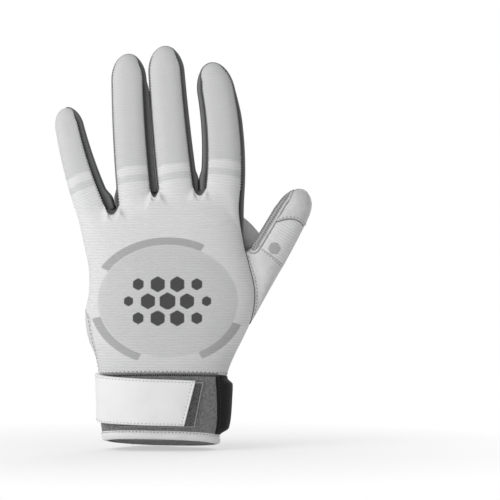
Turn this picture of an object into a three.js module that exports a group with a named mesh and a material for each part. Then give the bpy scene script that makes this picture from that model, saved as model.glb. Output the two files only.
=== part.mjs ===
import * as THREE from "three";

// Padded inner glove for a left hand, in millimetres, standing on its cuff with the fingers up.
// +X points to the thumb side, +Y out of the palm and +Z to the fingertips.
// The origin is the middle of the wrist mouth.

// Walls and clearances
const KNIT_WALL = 1.6;
const LEATHER_WALL = 1.6;
const CLOTH_WALL = 1.4;
const SEAM_GAP = 0.4;
const SEAM_ANGLE = 2.0;

// Sections of the hand and the cuff: level, edges across, depth of the back and of the palm
const SECTIONS = [
  { z: -12, left: -33.5, right: 29.5, back: 18.0, palm: 18.5 },
  { z: 4, left: -36.6, right: 32.0, back: 19.0, palm: 19.5 },
  { z: 14, left: -38.0, right: 34.5, back: 19.5, palm: 20.0 },
  { z: 30, left: -38.6, right: 36.3, back: 19.5, palm: 20.0 },
  { z: 42, left: -39.0, right: 37.5, back: 19.0, palm: 20.0 },
  { z: 52, left: -41.2, right: 41.5, back: 18.5, palm: 20.5 },
  { z: 62, left: -45.2, right: 46.5, back: 18.0, palm: 21.2 },
  { z: 75, left: -47.0, right: 52.0, back: 17.0, palm: 21.2 },
  { z: 90, left: -44.8, right: 53.4, back: 15.8, palm: 20.0 },
  { z: 105, left: -45.2, right: 50.2, back: 14.8, palm: 18.2 },
  { z: 120, left: -49.0, right: 46.6, back: 14.0, palm: 16.2 },
  { z: 135, left: -53.6, right: 46.0, back: 13.0, palm: 14.2 },
  { z: 150, left: -57.0, right: 47.0, back: 12.0, palm: 12.6 },
  { z: 165, left: -60.0, right: 48.0, back: 11.0, palm: 11.6 },
];
const SQUARENESS = 2.5;
const ROUND = 2 / SQUARENESS;

// Fingers: root centre, lean and sideways bend of the axis in degrees, sizes, root line from the root
// centre, seam angles
const LITTLE = {
  name: "little", baseX: -42.5, baseY: 2.6, baseZ: 140.4, lean: -20.0, curve: 5.6, length: 60.2,
  rootHalf: 11.0, tipHalf: 8.6, rootDepth: 9.6, tipDepth: 7.6, curl: 5.0, crease: 21.0,
  rootLeft: -1.9, rootRight: -0.4, backLeft: 0, backRight: 52, palmLeft: 0, palmRight: 30,
};
const RING = {
  name: "ring", baseX: -16.6, baseY: 1.2, baseZ: 143.4, lean: -6.1, curve: 2.7, length: 86.8,
  rootHalf: 11.5, tipHalf: 10.5, rootDepth: 10.8, tipDepth: 8.6, curl: 5.5, crease: 28.0,
  rootLeft: -3.4, rootRight: 6.2, backLeft: 26, backRight: 42, palmLeft: 30, palmRight: 30,
};
const MIDDLE = {
  name: "middle", baseX: 8.2, baseY: 0.4, baseZ: 145.1, lean: -7.2, curve: 1.8, length: 90.0,
  rootHalf: 12.2, tipHalf: 10.9, rootDepth: 11.3, tipDepth: 8.8, curl: 5.5, crease: 29.0,
  rootLeft: 4.5, rootRight: 5.9, backLeft: 28, backRight: 40, palmLeft: 30, palmRight: 30,
};
const INDEX = {
  name: "index", baseX: 33.0, baseY: 0.9, baseZ: 147.5, lean: 5.4, curve: -9.4, length: 77.0,
  rootHalf: 13.0, tipHalf: 11.4, rootDepth: 11.3, tipDepth: 8.8, curl: 5.0, crease: 21.5,
  rootLeft: 3.5, rootRight: 1.0, backLeft: 42, backRight: 36, palmLeft: 30, palmRight: 30,
};
const THUMB = {
  name: "thumb", baseX: 60.6, baseY: 4.0, baseZ: 110.2, lean: 31.0, curve: -2.2, length: 45.4,
  rootHalf: 10.9, tipHalf: 9.9, rootDepth: 10.4, tipDepth: 8.6, curl: 3.0, crease: 21.0,
  rootLeft: 0, rootRight: 0, backLeft: 30, backRight: 20, palmLeft: 12, palmRight: 0,
};
const FINGERS = [LITTLE, RING, MIDDLE, INDEX];
const TIP_STRETCH = 1.5;
const TIP_SEAM_SHARE = 0.45;
const CROTCH_DIP = 4.0;

// Raised foam pads
const PAD_RISE = 2.8;
const PAD_EDGE = 0.68;
const PAD_FOAM_SHARE = 0.58;
const FOAM_GAP = 1.0;
const FINGER_PADS = [
  { name: "index_lower_foam", finger: INDEX, from: 3.0, to: 20.0, half: 8.4 },
  { name: "index_upper_foam", finger: INDEX, from: 23.0, to: 57.0, half: 9.0 },
  { name: "middle_lower_foam", finger: MIDDLE, from: 6.5, to: 27.5, half: 8.2 },
  { name: "middle_upper_foam", finger: MIDDLE, from: 30.5, to: 62.0, half: 8.6 },
  { name: "ring_lower_foam", finger: RING, from: 5.0, to: 26.0, half: 8.0 },
];
const PALM_PAD = { x: 10.0, z: 118.0, halfHigh: 22.5, halfWide: 26.5, taper: 0.34, power: 2.6, rise: 3.0 };
const PALM_FOAM_SHARE = 0.60;
const PALM_FOAM_GAP = 0.9;

// Seams of the hand
const BACK_EDGE = 22;
const PALM_EDGE = 16;
const WRIST_WRAP = 24;
const WRAP_FROM = 40;
const WRAP_TO = 84;
const THUMB_OPEN_FROM = 70.5;
const THUMB_OPEN_TO = 112.0;
const THUMB_OPEN_ANGLE = 30;
const THUMB_PULL = 0.55;

// Cuff, strap and pull tab
const CUFF_TOP_BACK = 41.6;
const CUFF_TOP_PALM = 37.6;
const CUFF_WALL = 2.0;
const HEM_RISE = 0.4;
const HEM_TILT = 2.4;
const HEM_LEAN = 1.6;
const HEM_HEIGHT = 5.6;
const HEM_PROUD = 0.7;
const GUSSET_BACK = 37;
const GUSSET_PALM = 36;
const GUSSET_PROUD = 2.2;
const LOOP_PATCH = { left: -26, topRight: 22.6, lowRight: 17.4, low: 10.4, top: 37.2, wall: 1.1 };
const STRAP = { wall: 1.9, lowRoot: 12.6, topRoot: 40.6, lowEnd: 10.2, topEnd: 36.6, lowX: 10.6, topX: 17.2 };
const STRAP_ROOT_LIFT = 0.4;
const HOOK_PATCH = { left: -16, right: 8, low: 13.6, top: 34.0, wall: 0.9 };
const PULL_TAB = { topLeft: -24.0, topRight: 14.0, lowLeft: -20.4, lowRight: 5.8, top: 36.8, length: 43.8 };
const TAB_WALL = 1.5;
const TAB_LIFT = 0.4;
const TAB_FLARE = 55;
const TAB_STRAIGHT = 22.8;

// Grid steps
const STEPS_ACROSS = 5;
const STEPS_SIDE = 3;
const STEPS_HAND = 9;
const STEPS_PALM = 16;
const STEPS_CUFF = 22;

const RAD = Math.PI / 180;
const mix = (a, b, t) => a + (b - a) * t;
const clamp = (x) => Math.min(1, Math.max(0, x));
const signedPower = (x, e) => Math.sign(x) * Math.abs(x) ** e;

function smooth(a, b, x) {
  const t = clamp((x - a) / (b - a));
  return t * t * (3 - 2 * t);
}

// Closed sheet between an outer and an inner grid, both read from one surface
function sheet(surface, across, along, outer, inner, closed = false) {
  const points = [];
  const faces = [];
  const columns = closed ? across : across + 1;
  const layer = columns * (along + 1);
  for (const depth of [outer, inner]) {
    for (let j = 0; j <= along; j += 1) {
      for (let i = 0; i < columns; i += 1) {
        points.push(surface(i / across, j / along, depth));
      }
    }
  }
  const at = (i, j, k) => k * layer + j * columns + (i % columns);
  const quad = (a, b, c, d) => {
    if (points[a].distanceTo(points[c]) <= points[b].distanceTo(points[d])) {
      faces.push(a, b, c, a, c, d);
    } else {
      faces.push(a, b, d, b, c, d);
    }
  };
  for (let j = 0; j < along; j += 1) {
    for (let i = 0; i < across; i += 1) {
      quad(at(i, j, 0), at(i + 1, j, 0), at(i + 1, j + 1, 0), at(i, j + 1, 0));
      quad(at(i, j, 1), at(i, j + 1, 1), at(i + 1, j + 1, 1), at(i + 1, j, 1));
    }
  }
  for (let i = 0; i < across; i += 1) {
    quad(at(i, 0, 0), at(i, 0, 1), at(i + 1, 0, 1), at(i + 1, 0, 0));
    quad(at(i, along, 0), at(i + 1, along, 0), at(i + 1, along, 1), at(i, along, 1));
  }
  if (!closed) {
    for (let j = 0; j < along; j += 1) {
      quad(at(0, j, 0), at(0, j + 1, 0), at(0, j + 1, 1), at(0, j, 1));
      quad(at(across, j, 0), at(across, j, 1), at(across, j + 1, 1), at(across, j + 1, 0));
    }
  }
  return solid(points, faces);
}

function solid(points, faces) {
  let volume = 0;
  const cross = new THREE.Vector3();
  for (let k = 0; k < faces.length; k += 3) {
    cross.crossVectors(points[faces[k + 1]], points[faces[k + 2]]);
    volume += points[faces[k]].dot(cross);
  }
  if (volume < 0) faces.reverse();
  const geometry = new THREE.BufferGeometry();
  const flat = points.flatMap((p) => [p.x, p.y, p.z]);
  geometry.setAttribute("position", new THREE.Float32BufferAttribute(flat, 3));
  geometry.setIndex(faces);
  geometry.computeVertexNormals();
  return geometry;
}

// Hand and cuff surface: section at a level, then a point at an angle round it
function section(z) {
  let k = 1;
  while (k < SECTIONS.length - 3 && z > SECTIONS[k + 1].z) k += 1;
  const [p0, p1, p2, p3] = SECTIONS.slice(k - 1, k + 3);
  const span = p2.z - p1.z;
  const t = clamp((z - p1.z) / span);
  const cubic = (key) => {
    const m1 = ((p2[key] - p0[key]) / (p2.z - p0.z)) * span;
    const m2 = ((p3[key] - p1[key]) / (p3.z - p1.z)) * span;
    const t2 = t * t;
    const t3 = t2 * t;
    const start = (2 * t3 - 3 * t2 + 1) * p1[key] + (t3 - 2 * t2 + t) * m1;
    return start + (3 * t2 - 2 * t3) * p2[key] + (t3 - t2) * m2;
  };
  const left = cubic("left");
  const right = cubic("right");
  return { centre: (left + right) / 2, half: (right - left) / 2, back: cubic("back"), palm: cubic("palm") };
}

function handPoint(z, angle, inset) {
  const s = section(z);
  const up = Math.sin(angle * RAD);
  const depth = (up < 0 ? s.back : s.palm) - inset;
  const x = s.centre + (s.half - inset) * signedPower(Math.cos(angle * RAD), ROUND);
  return new THREE.Vector3(x, depth * signedPower(up, ROUND), z);
}

// Angle round the section that points at a place on the surface
function angleOf(p) {
  const s = section(p.z);
  const across = signedPower((p.x - s.centre) / s.half, 1 / ROUND);
  const out = signedPower(p.y / (p.y < 0 ? s.back : s.palm), 1 / ROUND);
  const angle = Math.atan2(out, across) / RAD;
  return angle < -90 ? angle + 360 : angle;
}

function angleAt(z, x, side) {
  const s = section(z);
  const share = Math.min(1, Math.max(-1, (x - s.centre) / s.half));
  const angle = Math.acos(signedPower(share, 1 / ROUND)) / RAD;
  return side < 0 ? 360 - angle : angle;
}

// Finger surface: s runs along the axis, q across it from -1 to 1, side is -1 for the back
function fingerPlace(f, a, b, c) {
  const bend = Math.tan(f.curve * RAD) / f.length;
  const run = Math.max(0, a);
  const lean = f.lean * RAD;
  const turned = lean + Math.atan(2 * bend * run);
  const off = bend * run * run;
  return new THREE.Vector3(
    f.baseX + a * Math.sin(lean) + off * Math.cos(lean) + b * Math.cos(turned),
    f.baseY + c + f.curl * (run / f.length) ** 2,
    f.baseZ + a * Math.cos(lean) - off * Math.sin(lean) - b * Math.sin(turned),
  );
}

const tipLength = (f) => TIP_STRETCH * f.tipHalf;
const tipCentre = (f) => f.length - tipLength(f);

function fingerPoint(f, s, q, side, inset) {
  const centre = tipCentre(f);
  const tip = Math.max(0, s - centre) / tipLength(f);
  const spread = Math.min(1, Math.hypot(tip, q));
  const t = Math.min(1, s / centre);
  const half = mix(f.rootHalf, f.tipHalf, t) - inset;
  const depth = mix(f.rootDepth, f.tipDepth, t) - inset;
  const a = s <= centre ? s : centre + tip * (tipLength(f) - inset);
  const c = side * depth * (1 - spread ** SQUARENESS) ** (1 / SQUARENESS);
  return fingerPlace(f, a, q * half, c);
}

const seamShare = (angle) => Math.cos(angle * RAD) ** ROUND;

// Place of a point on the rim of a finger: 0 to 1 left side, 1 to 2 round the tip, 2 to 3 right side
function rimPlace(f, start, rim, share) {
  if (rim <= 1) return [mix(start, tipCentre(f), rim), -share];
  if (rim >= 2) return [mix(tipCentre(f), start, rim - 2), share];
  const turn = (rim - 1) * Math.PI;
  return [tipCentre(f) + tipLength(f) * share * Math.sin(turn), -share * Math.cos(turn)];
}

function rimSeam(f, rim, side) {
  const left = side < 0 ? f.backLeft : f.palmLeft;
  const right = side < 0 ? f.backRight : f.palmRight;
  const angle = mix(left, right, smooth(1.15, 1.85, rim));
  const tip = Math.sin(clamp(rim - 1) * Math.PI) ** 2;
  return angle * mix(1, TIP_SEAM_SHARE, tip);
}

// Level of the root line of a finger, as a distance along its axis
function rootLine(f, q) {
  const rise = mix(f.rootLeft, f.rootRight, (q + 1) / 2);
  const b = q * f.rootHalf;
  return (rise + b * Math.sin(f.lean * RAD)) / Math.cos(f.lean * RAD);
}

const rootOf = (f, q) => (f === THUMB ? 0 : rootLine(f, q));
const ease = (u) => 0.5 + Math.sin((2 * u - 1) * 1.1) / (2 * Math.sin(1.1));

// Rise of the pads over the plain leather
function padRise(pad, s, b) {
  const middle = (pad.from + pad.to) / 2;
  const reach = (pad.to - pad.from) / 2;
  const far = (Math.abs((s - middle) / reach) ** 4 + Math.abs(b / pad.half) ** 4) ** 0.25;
  return PAD_RISE * (1 - smooth(PAD_EDGE, 1, far));
}

function leatherRise(f, s, q) {
  const half = mix(f.rootHalf, f.tipHalf, Math.min(1, s / tipCentre(f)));
  const mine = FINGER_PADS.filter((pad) => pad.finger === f);
  return mine.reduce((sum, pad) => sum + padRise(pad, s, q * half), 0);
}

function palmRise(x, z) {
  const up = (z - PALM_PAD.z) / PALM_PAD.halfHigh;
  const wide = PALM_PAD.halfWide * (1 - PALM_PAD.taper * clamp((1 - up) / 2));
  const across = (x - PALM_PAD.x) / wide;
  const far = (Math.abs(up) ** PALM_PAD.power + Math.abs(across) ** PALM_PAD.power) ** (1 / PALM_PAD.power);
  return PALM_PAD.rise * (1 - smooth(PAD_EDGE, 1, far));
}

// Lower and upper pieces of a finger
function lowerSurface(f, side) {
  const left = -seamShare((side < 0 ? f.backLeft : f.palmLeft) + SEAM_ANGLE);
  const right = seamShare((side < 0 ? f.backRight : f.palmRight) + SEAM_ANGLE);
  return (u, v, inset) => {
    const q = mix(left, right, ease(u));
    const s = mix(rootOf(f, q) + SEAM_GAP, f.crease - SEAM_GAP, v);
    const rise = side > 0 ? leatherRise(f, s, q) : 0;
    return fingerPoint(f, s, q, side, inset - rise);
  };
}

function upperSurface(f, side) {
  const start = f.crease + SEAM_GAP;
  const corner = 1.25;
  const rimOf = (v) => (v < 0.7 ? v / 0.7 : 1 + ((v - 0.7) / 0.3) * (corner - 1));
  const edge = (rim) => rimPlace(f, start, rim, seamShare(rimSeam(f, rim, side) + SEAM_ANGLE));
  const low = [edge(0), edge(3)];
  const high = [edge(corner), edge(3 - corner)];
  return (u, v, inset) => {
    const t = ease(u);
    const left = edge(rimOf(v));
    const right = edge(3 - rimOf(v));
    const top = edge(mix(corner, 3 - corner, u));
    const place = [0, 1].map((k) => {
      const bottom = mix(low[0][k], low[1][k], t);
      const ruled = mix(left[k], right[k], t) + mix(bottom, top[k], v);
      return ruled - mix(mix(low[0][k], low[1][k], t), mix(high[0][k], high[1][k], t), v);
    });
    const rise = side > 0 ? leatherRise(f, place[0], place[1]) : 0;
    return fingerPoint(f, place[0], place[1], side, inset - rise);
  };
}

function sideSurface(f, hand) {
  const back = (hand < 0 ? f.backLeft : f.backRight) - SEAM_ANGLE;
  const palm = (hand < 0 ? f.palmLeft : f.palmRight) - SEAM_ANGLE;
  return (u, v, inset) => {
    const angle = mix(-back, palm, u);
    const s = mix(rootOf(f, hand) + SEAM_GAP, f.crease - SEAM_GAP, v);
    return fingerPoint(f, s, hand * seamShare(angle), angle < 0 ? -1 : 1, inset);
  };
}

function rimSurface(f, from) {
  const start = f.crease + SEAM_GAP;
  return (u, v, inset) => {
    const rim = mix(from, 3, v);
    const angle = mix(-rimSeam(f, rim, -1) + SEAM_ANGLE, rimSeam(f, rim, 1) - SEAM_ANGLE, u);
    const [s, q] = rimPlace(f, start, rim, seamShare(angle));
    return fingerPoint(f, s, q, angle < 0 ? -1 : 1, inset);
  };
}

function foamSurface(pad) {
  const f = pad.finger;
  const middle = (pad.from + pad.to) / 2;
  const reach = ((pad.to - pad.from) / 2) * PAD_FOAM_SHARE;
  return (u, v, inset) => {
    const s = middle + reach * (2 * v - 1);
    const half = mix(f.rootHalf, f.tipHalf, Math.min(1, s / tipCentre(f)));
    const b = pad.half * PAD_FOAM_SHARE * (2 * u - 1);
    const rise = inset > 0 ? 0 : padRise(pad, s, b) - FOAM_GAP;
    return fingerPoint(f, s, b / half, 1, LEATHER_WALL - rise);
  };
}

// Bottom of the cleft between two neighbouring fingers
function cleftPoint(f, g, t, angleF, angleG, inset) {
  const sideF = angleF < 0 ? -1 : 1;
  const sideG = angleG < 0 ? -1 : 1;
  const a = fingerPoint(f, rootLine(f, 1) - SEAM_GAP, seamShare(angleF), sideF, inset);
  const b = fingerPoint(g, rootLine(g, -1) - SEAM_GAP, -seamShare(angleG), sideG, inset);
  const low = a.clone().add(b).multiplyScalar(0.5);
  low.z -= 2 * (CROTCH_DIP + inset);
  const first = a.multiplyScalar((1 - t) ** 2);
  const last = b.multiplyScalar(t * t);
  return first.addScaledVector(low, 2 * t * (1 - t)).add(last);
}

function cleftSurface(f, g) {
  return (u, v, inset) => {
    const angleF = mix(-f.backRight + SEAM_ANGLE, f.palmRight - SEAM_ANGLE, v);
    const angleG = mix(-g.backLeft + SEAM_ANGLE, g.palmLeft - SEAM_ANGLE, v);
    return cleftPoint(f, g, u, angleF, angleG, inset);
  };
}

// Columns of the hand: each runs from the wrist seam up to a finger root or a cleft
const wrapAt = (z) => WRIST_WRAP * smooth(WRAP_FROM, 62, z) * (1 - smooth(66, WRAP_TO, z));
const openAt = (z) => PALM_EDGE + THUMB_OPEN_ANGLE * smooth(58, 84, z) * (1 - smooth(96, 122, z));
const wristLevel = (angle) => mix(CUFF_TOP_BACK, CUFF_TOP_PALM, (1 + Math.sin(angle * RAD)) / 2);

function handColumn(top, run, side, share) {
  const peak = top(0);
  const angle = angleOf(peak);
  const topAngle = side < 0 && angle < 90 ? angle + 360 : angle;
  return { run, side, share, level: peak.z, topAngle };
}

function columnAngle(column, z) {
  const { side, share, level, topAngle } = column;
  const little = 180 + wrapAt(z);
  const bottom = side < 0
    ? mix(little + SEAM_ANGLE, 360 - BACK_EDGE - SEAM_ANGLE, share)
    : mix(little - SEAM_ANGLE, openAt(z) + SEAM_ANGLE, share);
  return mix(bottom, topAngle, smooth(60, level, z));
}

function columnPoint(column, z, inset) {
  const { run, level } = column;
  const plain = handPoint(z, columnAngle(column, z), inset);
  const near = smooth(level - 30, level, z);
  if (near === 0) return plain;
  const raised = run(z - level, inset);
  return plain.lerp(raised, near);
}

function fingerColumns(side) {
  const columns = [];
  FINGERS.forEach((f, k) => {
    const left = -seamShare((side < 0 ? f.backLeft : f.palmLeft) + SEAM_ANGLE);
    const right = seamShare((side < 0 ? f.backRight : f.palmRight) + SEAM_ANGLE);
    for (let i = 0; i < STEPS_ACROSS; i += 1) {
      const q = mix(left, right, ease(i / (STEPS_ACROSS - 1)));
      const root = rootLine(f, q) - SEAM_GAP;
      const run = (drop, inset) => fingerPoint(f, root + drop / Math.cos(f.lean * RAD), q, side, inset);
      columns.push([(inset) => fingerPoint(f, root, q, side, inset), run]);
    }
    const g = FINGERS[k + 1];
    if (!g) return;
    const angleF = side * ((side < 0 ? f.backRight : f.palmRight) + SEAM_ANGLE);
    const angleG = side * ((side < 0 ? g.backLeft : g.palmLeft) + SEAM_ANGLE);
    for (const t of [0.25, 0.5, 0.75]) {
      const top = (inset) => cleftPoint(f, g, t, angleF, angleG, inset);
      const run = (drop, inset) => {
        const p = top(inset);
        p.z += drop;
        return p;
      };
      columns.push([top, run]);
    }
  });
  const last = columns.length - 1;
  return columns.map(([top, run], i) => handColumn(top, run, side, i / last));
}

function handSurface(side) {
  const columns = fingerColumns(side);
  return (u, v, inset) => {
    const column = columns[Math.round(u * (columns.length - 1))];
    const start = wristLevel(columnAngle(column, WRAP_FROM)) + SEAM_GAP;
    const z = mix(start, column.level, v);
    if (side < 0) return columnPoint(column, z, inset);
    const plain = columnPoint(column, z, 0);
    return columnPoint(column, z, inset - palmRise(plain.x, plain.z));
  };
}
const HAND_COLUMNS = FINGERS.length * STEPS_ACROSS + 3 * (FINGERS.length - 1) - 1;

// Thumb side of the hand, between the right edges of the back and of the palm
function thumbSide(u, z, inset) {
  const angleF = mix(-INDEX.backRight + SEAM_ANGLE, INDEX.palmRight - SEAM_ANGLE, u);
  const side = angleF < 0 ? -1 : 1;
  const root = rootLine(INDEX, 1) - SEAM_GAP;
  const run = (drop) => {
    const s = root + drop / Math.cos(INDEX.lean * RAD);
    return fingerPoint(INDEX, s, seamShare(angleF), side, inset);
  };
  const level = run(0).z;
  const backTop = angleOf(fingerPoint(INDEX, root, seamShare(INDEX.backRight), -1, 0));
  const palmTop = angleOf(fingerPoint(INDEX, root, seamShare(INDEX.palmRight), 1, 0));
  const t = smooth(60, level, z);
  const low = mix(-BACK_EDGE, backTop, t) + SEAM_ANGLE;
  const high = mix(openAt(z), palmTop, t) - SEAM_ANGLE;
  const plain = handPoint(z, mix(low, high, u), inset);
  const near = smooth(level - 30, level, z);
  return near === 0 ? plain : plain.lerp(run(z - level), near);
}

function thumbOpening(turn, inset) {
  const corners = [-0.07, 0.07, 0.43, 0.57, 0.93];
  const t = turn > corners[4] ? turn - 1 : turn;
  const part = (k) => clamp((t - corners[k]) / (corners[k + 1] - corners[k]));
  if (t <= corners[1]) return thumbSide(1 - part(0), THUMB_OPEN_TO, inset);
  if (t <= corners[2]) return thumbSide(0, mix(THUMB_OPEN_TO, THUMB_OPEN_FROM, part(1)), inset);
  if (t <= corners[3]) return thumbSide(part(2), THUMB_OPEN_FROM, inset);
  return thumbSide(1, mix(THUMB_OPEN_FROM, THUMB_OPEN_TO, part(3)), inset);
}

function thumbRound(turn, s, inset) {
  const c = Math.cos(2 * Math.PI * turn);
  return fingerPoint(THUMB, s, -signedPower(c, ROUND), turn < 0.5 ? -1 : 1, inset);
}

function sleeveSurface(u, v, inset) {
  const start = thumbOpening(u, inset);
  const end = thumbRound(u, -SEAM_GAP, inset);
  const pull = start.distanceTo(end) * THUMB_PULL;
  const along = new THREE.Vector3(Math.sin(THUMB.lean * RAD), 0, Math.cos(THUMB.lean * RAD));
  const near = start.clone().addScaledVector(along, pull * 0.5);
  const far = end.clone().addScaledVector(along, -pull * 0.5);
  const w = 1 - v;
  const point = start.multiplyScalar(w ** 3).addScaledVector(near, 3 * w * w * v);
  return point.addScaledVector(far, 3 * w * v * v).addScaledVector(end, v ** 3);
}

function thumbShell(from, to) {
  return (u, v, inset) => thumbRound(mix(from, to, u), mix(SEAM_GAP, THUMB.crease - SEAM_GAP, v), inset);
}

// Cuff surfaces
function hemLevel(angle) {
  return HEM_RISE - HEM_TILT * Math.sin(angle * RAD) - HEM_LEAN * Math.cos(angle * RAD);
}

function bandSurface(u, v, inset) {
  const angle = mix(GUSSET_PALM + SEAM_ANGLE, 360 - GUSSET_BACK - SEAM_ANGLE, u);
  const low = hemLevel(angle) + HEM_HEIGHT + SEAM_GAP;
  return handPoint(mix(low, wristLevel(angle) - SEAM_GAP, v), angle, inset);
}

function hemSurface(u, v, inset) {
  const angle = 360 * u;
  const round = Math.sin(Math.PI * v) * HEM_PROUD;
  return handPoint(hemLevel(angle) + HEM_HEIGHT * v, angle, inset - (inset > 0 ? -HEM_PROUD : round));
}

function gussetSurface(u, v, inset) {
  const angle = mix(-GUSSET_BACK + SEAM_ANGLE, GUSSET_PALM - SEAM_ANGLE, u);
  const puff = Math.sin(Math.PI * u) ** 0.5 * Math.sin(Math.PI * mix(0.12, 0.88, v)) ** 0.5;
  const out = inset > 0 ? 0 : GUSSET_PROUD * puff;
  const low = hemLevel(angle) + HEM_HEIGHT + SEAM_GAP;
  return handPoint(mix(low, wristLevel(angle) - SEAM_GAP, v), angle, inset - out);
}

function cuffBack(x, z, lift) {
  return handPoint(z, angleAt(z, x, -1), -lift);
}

function patchSurface(patch) {
  const topRight = patch.topRight ?? patch.right;
  const lowRight = patch.lowRight ?? patch.right;
  return (u, v, lift) => {
    const x = mix(patch.left, mix(lowRight, topRight, v), u);
    return cuffBack(x, mix(patch.low, patch.top, v), lift);
  };
}

const LOOP_TOP = SEAM_GAP + LOOP_PATCH.wall;
const HOOK_TOP = LOOP_TOP + SEAM_GAP + HOOK_PATCH.wall;
const STRAP_LIFT = HOOK_TOP + SEAM_GAP;

function strapSurface(u, v, lift) {
  const z = mix(mix(STRAP.lowRoot, STRAP.lowEnd, u), mix(STRAP.topRoot, STRAP.topEnd, u), v);
  const end = angleAt(z, mix(STRAP.lowX, STRAP.topX, v), -1);
  const base = mix(STRAP_ROOT_LIFT, STRAP_LIFT, smooth(0, 0.4, u));
  return handPoint(z, mix(182, end, u), -(base + lift));
}

// The tab hangs straight from its sewn top, then flares out from the cuff along an arc
function tabSurface(u, v, lift) {
  const arc = v * PULL_TAB.length;
  const radius = (PULL_TAB.length - TAB_STRAIGHT) / (TAB_FLARE * RAD);
  const turn = Math.max(0, arc - TAB_STRAIGHT) / radius;
  const level = PULL_TAB.top - Math.min(arc, TAB_STRAIGHT);
  const x = mix(mix(PULL_TAB.topLeft, PULL_TAB.lowLeft, v), mix(PULL_TAB.topRight, PULL_TAB.lowRight, v), u);
  const p = handPoint(level, angleAt(level, x, 1), -TAB_LIFT);
  const out = radius * (1 - Math.cos(turn)) + lift * Math.cos(turn);
  return new THREE.Vector3(x, p.y + out, level - radius * Math.sin(turn) + lift * Math.sin(turn));
}

// Materials
const KNIT = new THREE.MeshStandardMaterial({ color: 0xd8d8d8, roughness: 0.9 });
const LEATHER = new THREE.MeshStandardMaterial({ color: 0xe4e2de, roughness: 0.6 });
const DARK_CLOTH = new THREE.MeshStandardMaterial({ color: 0x565658, roughness: 0.9 });
const HEATHER = new THREE.MeshStandardMaterial({ color: 0x838383, roughness: 0.9 });
const BLACK = new THREE.MeshStandardMaterial({ color: 0x161616, roughness: 0.8 });
const FOAM = new THREE.MeshStandardMaterial({ color: 0xd2cdb8, roughness: 0.9 });

const glove = new THREE.Group();
glove.name = "padded_inner_glove";

function add(name, geometry, material) {
  const mesh = new THREE.Mesh(geometry, material);
  mesh.name = name;
  glove.add(mesh);
}

// Hand
add("back_panel", sheet(handSurface(-1), HAND_COLUMNS, STEPS_HAND, 0, KNIT_WALL), KNIT);
add("palm_panel", sheet(handSurface(1), HAND_COLUMNS, STEPS_PALM, 0, LEATHER_WALL), LEATHER);
const palmFoam = (u, v, inset) => {
  const across = (2 * u - 1) * Math.sqrt(1 - (2 * v - 1) ** 2 / 2.6);
  const up = (2 * v - 1) * Math.sqrt(1 - (2 * u - 1) ** 2 / 2.6);
  const wide = PALM_PAD.halfWide * (1 - PALM_PAD.taper * clamp((1 - up) / 2));
  const x = PALM_PAD.x + across * wide * PALM_FOAM_SHARE;
  const z = PALM_PAD.z + up * PALM_PAD.halfHigh * PALM_FOAM_SHARE;
  const rise = inset > 0 ? 0 : palmRise(x, z) - PALM_FOAM_GAP;
  return new THREE.Vector3(x, palmDepth(x, z) - LEATHER_WALL + rise, z);
};

// Depth of the plain palm under a place, found on the columns of the palm
function palmDepth(x, z) {
  const columns = fingerColumns(1);
  let before = columnPoint(columns[0], Math.min(z, columns[0].level), 0);
  for (const column of columns) {
    const here = columnPoint(column, Math.min(z, column.level), 0);
    if (here.x >= x) return mix(before.y, here.y, clamp((x - before.x) / (here.x - before.x)));
    before = here;
  }
  return before.y;
}

add("palm_foam", sheet(palmFoam, 6, 6, 0, 1), FOAM);
const CLEFTS = [[LITTLE, RING], [RING, MIDDLE], [MIDDLE, INDEX]];
for (const [f, g] of CLEFTS) {
  add(`${f.name}_${g.name}_crotch`, sheet(cleftSurface(f, g), 8, 4, 0, CLOTH_WALL), DARK_CLOTH);
}
const indexRoot = fingerPoint(INDEX, rootLine(INDEX, 1) - SEAM_GAP, 1, 1, 0).z;
const indexSide = (u, v, inset) => thumbSide(u, mix(THUMB_OPEN_TO + SEAM_GAP, indexRoot, v), inset);
add("index_side_strip", sheet(indexSide, 4, 6, 0, CLOTH_WALL), DARK_CLOTH);
const wristSide = (u, v, inset) => {
  const low = wristLevel(mix(-BACK_EDGE, PALM_EDGE, u)) + 2 * SEAM_GAP;
  return thumbSide(u, mix(low, THUMB_OPEN_FROM - SEAM_GAP, v), inset);
};
add("wrist_side_gusset", sheet(wristSide, 4, 5, 0, KNIT_WALL), KNIT);
add("thumb_sleeve", sheet(sleeveSurface, 22, 5, 0, LEATHER_WALL, true), LEATHER);

// Fingers
for (const f of FINGERS) {
  const lowSteps = STEPS_ACROSS - 1;
  add(`${f.name}_lower_back`, sheet(lowerSurface(f, -1), lowSteps, 2, 0, KNIT_WALL), KNIT);
  const padded = FINGER_PADS.filter((pad) => pad.finger === f).length;
  const lowGrid = padded > 0 ? [8, 7] : [4, 3];
  const highGrid = padded > 1 ? [6, 11] : [6, 7];
  add(`${f.name}_lower_palm`, sheet(lowerSurface(f, 1), ...lowGrid, 0, LEATHER_WALL), LEATHER);
  if (f.backLeft > 0) {
    add(`${f.name}_lower_side_outer`, sheet(sideSurface(f, -1), STEPS_SIDE, 2, 0, CLOTH_WALL), DARK_CLOTH);
  }
  add(`${f.name}_lower_side_inner`, sheet(sideSurface(f, 1), STEPS_SIDE, 2, 0, CLOTH_WALL), DARK_CLOTH);
  add(`${f.name}_upper_back`, sheet(upperSurface(f, -1), 6, 7, 0, KNIT_WALL), KNIT);
  add(`${f.name}_upper_palm`, sheet(upperSurface(f, 1), ...highGrid, 0, LEATHER_WALL), LEATHER);
  const rimFrom = f.backLeft > 0 ? 0 : 1.5;
  add(`${f.name}_upper_side`, sheet(rimSurface(f, rimFrom), 2, 18, 0, CLOTH_WALL), DARK_CLOTH);
}
for (const pad of FINGER_PADS) {
  add(pad.name, sheet(foamSurface(pad), 4, 5, 0, 1), FOAM);
}

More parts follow.
